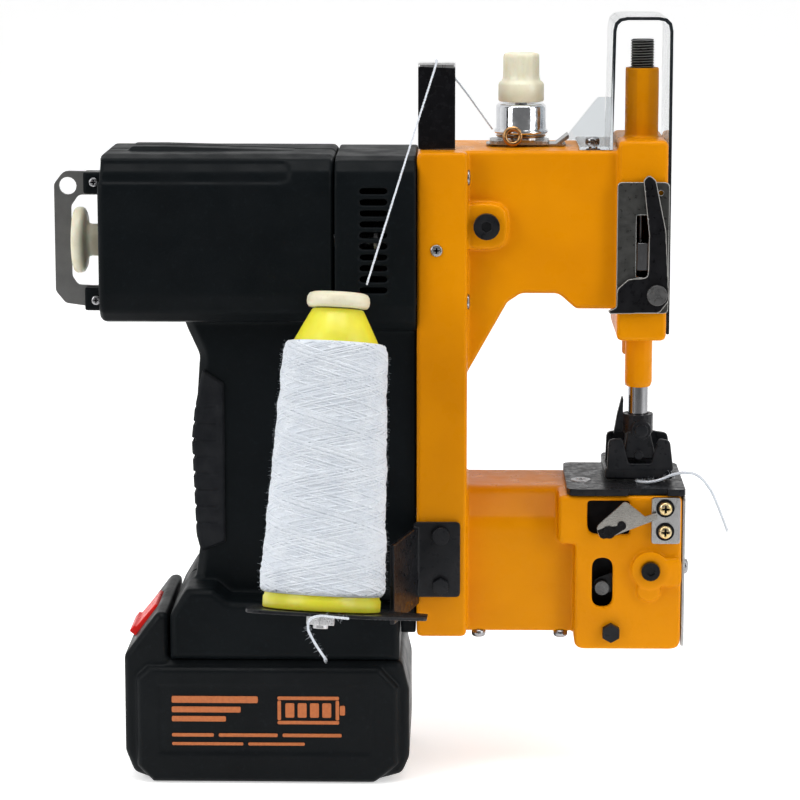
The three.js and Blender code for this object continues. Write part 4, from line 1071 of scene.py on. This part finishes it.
TRAY = mm(26.3, -88, 85.3)
TRAY_TURN = (math.radians(-12), math.radians(2.9), 0)
PACK_LOW, PACK_HIGH = 6.6, 103.6
TRAVERSES = 96
TURNS_PER_TRAVERSE = 2.8
STEPS_PER_TURN = 44
STRAND = 0.4
CORE_DEPTH = 0.1
CORE_BAND = 18.5  # points of the core farther out than this follow the wound surface
FIBRES_PER_TRAVERSE = 32


def tray_frame():
    turn = Matrix.Rotation(TRAY_TURN[0], 4, "X") @ Matrix.Rotation(TRAY_TURN[1], 4, "Y")
    return Matrix.Translation(TRAY) @ turn


def pack_radius(height, angle):
    """The wound surface: a cone with soft uneven layers."""
    even = 24.2 - 4.5 * (height - 6) / 98
    spot = Vector((math.cos(angle) * 1.3, math.sin(angle) * 1.3, height * 0.16))
    rounded = 1.5 * math.exp(-min(height - PACK_LOW, PACK_HIGH - height) / 0.9)
    return even + 0.55 * noise.noise(spot) - rounded


def make_cone():
    """The moulded cone with the steeper nose above the thread, and its pressed-in cap."""
    profile = [
        (20.6, 0.4), (22.5, 0.4), (22.8, 0.8), (22.8, 4.6), (22.4, 5.2), (22.2, 6), (19.4, 60),
        (16.9, 103), (10.2, 116), (9.7, 116.5), (3.8, 116.5), (3.8, 114.5), (8, 114.5),
        (14.9, 103), (17.4, 60), (20.6, 0.4),
    ]
    mesh = turned("spool_cone", profile, tray_frame(), sides=96)
    weld(mesh)
    piece = new_piece("spool_cone", mesh, "cone", "spool")
    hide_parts("thread_cone")
    rim = [
        (3.8, 116.9), (9.6, 116.9), (11.4, 117.2), (12.1, 118.2), (12.3, 119.6), (12.1, 121.2),
        (11.3, 122.5), (9.8, 123), (8.6, 122.6), (7.8, 121.6), (7.2, 121.2), (3.8, 121.2), (3.8, 116.9),
    ]
    mesh = turned("spool_cap", rim, tray_frame(), sides=96)
    weld(mesh)
    cap = new_piece("spool_cap", mesh, "cream", "spool")
    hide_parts("cone_cap")


def make_pack():
    """The package of thread: a core under a net of crossed windings, with stray fibres."""
    place = tray_frame()
    core = [(23, PACK_LOW - 0.2)]
    heights = [PACK_LOW + (PACK_HIGH - PACK_LOW) * i / 60 for i in range(61)]
    core += [(pack_radius(h, 0) - CORE_DEPTH, h) for h in heights]
    core += [(17.2, PACK_HIGH), (17.2, PACK_HIGH - 1), (23, PACK_LOW - 0.2)]
    mesh = turned("thread_package", core, place, sides=120)
    weld(mesh)
    inverse = place.inverted()
    for point in mesh.vertices:
        spot = inverse @ point.co / MM
        away = math.hypot(spot.x, spot.y)
        if away > CORE_BAND and PACK_LOW < spot.z < PACK_HIGH:
            reach = pack_radius(spot.z, math.atan2(spot.y, spot.x)) - CORE_DEPTH
            point.co = place @ mm(spot.x * reach / away, spot.y * reach / away, spot.z)
    package = new_piece("thread_package", mesh, "thread", "spool")
    strands = bmesh.new()
    dice = random.Random(4)
    roots = []
    for run in range(TRAVERSES):
        rising = run % 2 == 0
        start = dice.uniform(0, 2 * math.pi)
        lift = dice.uniform(-0.3, 0.06)
        steps = int(TURNS_PER_TRAVERSE * STEPS_PER_TURN)
        line = []
        for i in range(steps + 1):
            share = i / steps
            angle = start + 2 * math.pi * TURNS_PER_TRAVERSE * share
            climb = share if rising else 1 - share
            height = PACK_LOW + 0.5 + (PACK_HIGH - PACK_LOW - 1) * climb
            reach = pack_radius(height, angle) + lift
            line.append(place @ mm(reach * math.cos(angle), reach * math.sin(angle), height))
        strands.from_mesh(tube("strand", line, STRAND * MM, 5))
        for _ in range(FIBRES_PER_TRAVERSE):
            spot = dice.choice(line)
            out = spot - (place @ Vector((0, 0, (inverse @ spot).z)))
            roots.append((spot, out.normalized()))
    net = bpy.data.meshes.new("thread_windings")
    strands.to_mesh(net)
    strands.free()
    new_piece("thread_windings", net, "thread", "spool")
    new_piece(
        "package_fluff", fuzz("package_fluff", roots, 2.1 * MM, 0.06 * MM, 8), "thread", "spool"
    )
    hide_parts("thread_pack")


# ---------------------------------------------------------------- dressing the whole frame

CAST = (  # node, look, voxel of the skin, smoothing passes
    ("body_casting", "yellow", 0.6, 3),
    ("rear_cover", "yellow", 0.6, 3),
    ("motor_shell_front", "shell", 0.75, 5),
    ("motor_shell_back", "shell", 0.75, 5),
    ("belt_case", "shell", 0.7, 4),
    ("battery_case", "battery", 0.75, 5),
    ("grip_overmold", "rubber", 0.4, 4),
    ("trigger", "shell", 0.4, 4),
    ("release_button", "red", 0.4, 4),
    ("spool_bracket", "oxide", 0.35, 3),
    ("presser_foot", "oxide", 0.22, 3),
    ("presser_sole", "oxide", 0.25, 2),
    ("lifter_lever", "black_lit_edges", 0.25, 2),
    ("lifter_plate", "grey_plate", 0.25, 2),
    ("tension_base", "plate_steel", 0.2, 2),
    ("needle_lever", "steel", 0.4, 3),
    ("connecting_rod", "steel", 0.35, 3),
    ("cooling_fan", "cream", 0.35, 2),
    ("battery_cells", "wrap", 0.7, 3),
    ("drive_belt", "rubber", 0.4, 2),
)
MACHINED = (  # node, look
    ("hanger_bracket", "hanger_steel"),
    ("motor_can", "steel"),
    ("motor_shaft", "steel"),
    ("motor_pulley", "steel"),
    ("shaft_pulley", "steel"),
    ("main_shaft", "steel"),
    ("shaft_bearing_left", "chrome"),
    ("shaft_bearing_right", "chrome"),
    ("lever_pivot_bolt", "oxide"),
    ("needle_bar", "bar_steel"),
    ("needle", "chrome"),
    ("presser_bar", "bar_steel"),
    ("lifter_pin", "grey_pin"),
    ("needle_plate", "oxide"),
    ("feed_dog", "steel"),
    ("looper_shaft", "gloss_black"),
    ("fixed_knife", "plate_steel"),
    ("end_cover", "plate_steel"),
    ("adjust_bolt", "oxide"),
    ("spool_pin", "steel"),
    ("spool_bolt_upper", "oxide"),
    ("spool_bolt_lower", "oxide"),
    ("trigger_switch", "shell"),
)


GUIDE_FOOT_TOP, GUIDE_CAP_BOTTOM = 258.9, 289.4
LOOPER_PIN = (137.5, 79.5, 3.6)  # X, Z and radius of a round boss
KNIFE_PIVOT = (139.8, 104.2, 4.2)
KNIFE_DRIVE = (144.8, 106.4, 3)
LOOPER_FRONT, KNIFE_FRONT = -25.2, -33.2
GUARD_TOP, GUARD_FRONT = 277, 160


def on_boss(centre, boss):
    x, z, radius = boss
    return math.hypot(centre.x - x, centre.z - z) < radius


def guide_flange(centre, normal):
    """The bright foot and cap of the thread guide."""
    return centre.z < GUIDE_FOOT_TOP or centre.z > GUIDE_CAP_BOTTOM


def looper_pin(centre, normal):
    """The grey pin in the looper's slot."""
    return on_boss(centre, LOOPER_PIN) and centre.y < LOOPER_FRONT


def knife_hole_shade(centre, normal):
    """The pivot and drive bosses on the face of the moving knife, painted black: painted shade for the
    dark holes there.
    """
    near = on_boss(centre, KNIFE_PIVOT) or on_boss(centre, KNIFE_DRIVE)
    return near and centre.y < KNIFE_FRONT


def cut_side(centre, normal):
    """The dark cut sides of the clear guard's strip, but not of its foot."""
    return abs(normal.y) > 0.9 and (centre.z > GUARD_TOP or centre.x > GUARD_FRONT)


TWO_TONE = (  # node, look, second look, which faces have the second
    ("thread_guide", "gloss_black", "plate_steel", guide_flange),
    ("looper", "gloss_black", "grey_pin", looper_pin),
    ("moving_knife", "blade", "gloss_black", knife_hole_shade),
    ("finger_guard", "acrylic", "cut_edge", cut_side),
)


def dress_frame():
    """Gives every CAD node that stays visible its look and its edges."""
    for node, look, voxel, passes in CAST:
        soften(node, look, voxel, passes)
    for node, look in MACHINED:
        chamfer(node, look)
    for node, first, second, picked in TWO_TONE:
        two_tone(node, first, second, picked)


make_camera()
make_threads()
make_screws()
make_pressure_screw()
make_tension_knob()
make_presser_spring()
make_handwheel()
make_tension_rings()
make_inner_shade_sheet()
make_label()
make_cone()
make_pack()
make_tension_cup()
dress_frame()
make_lights()
make_floor()
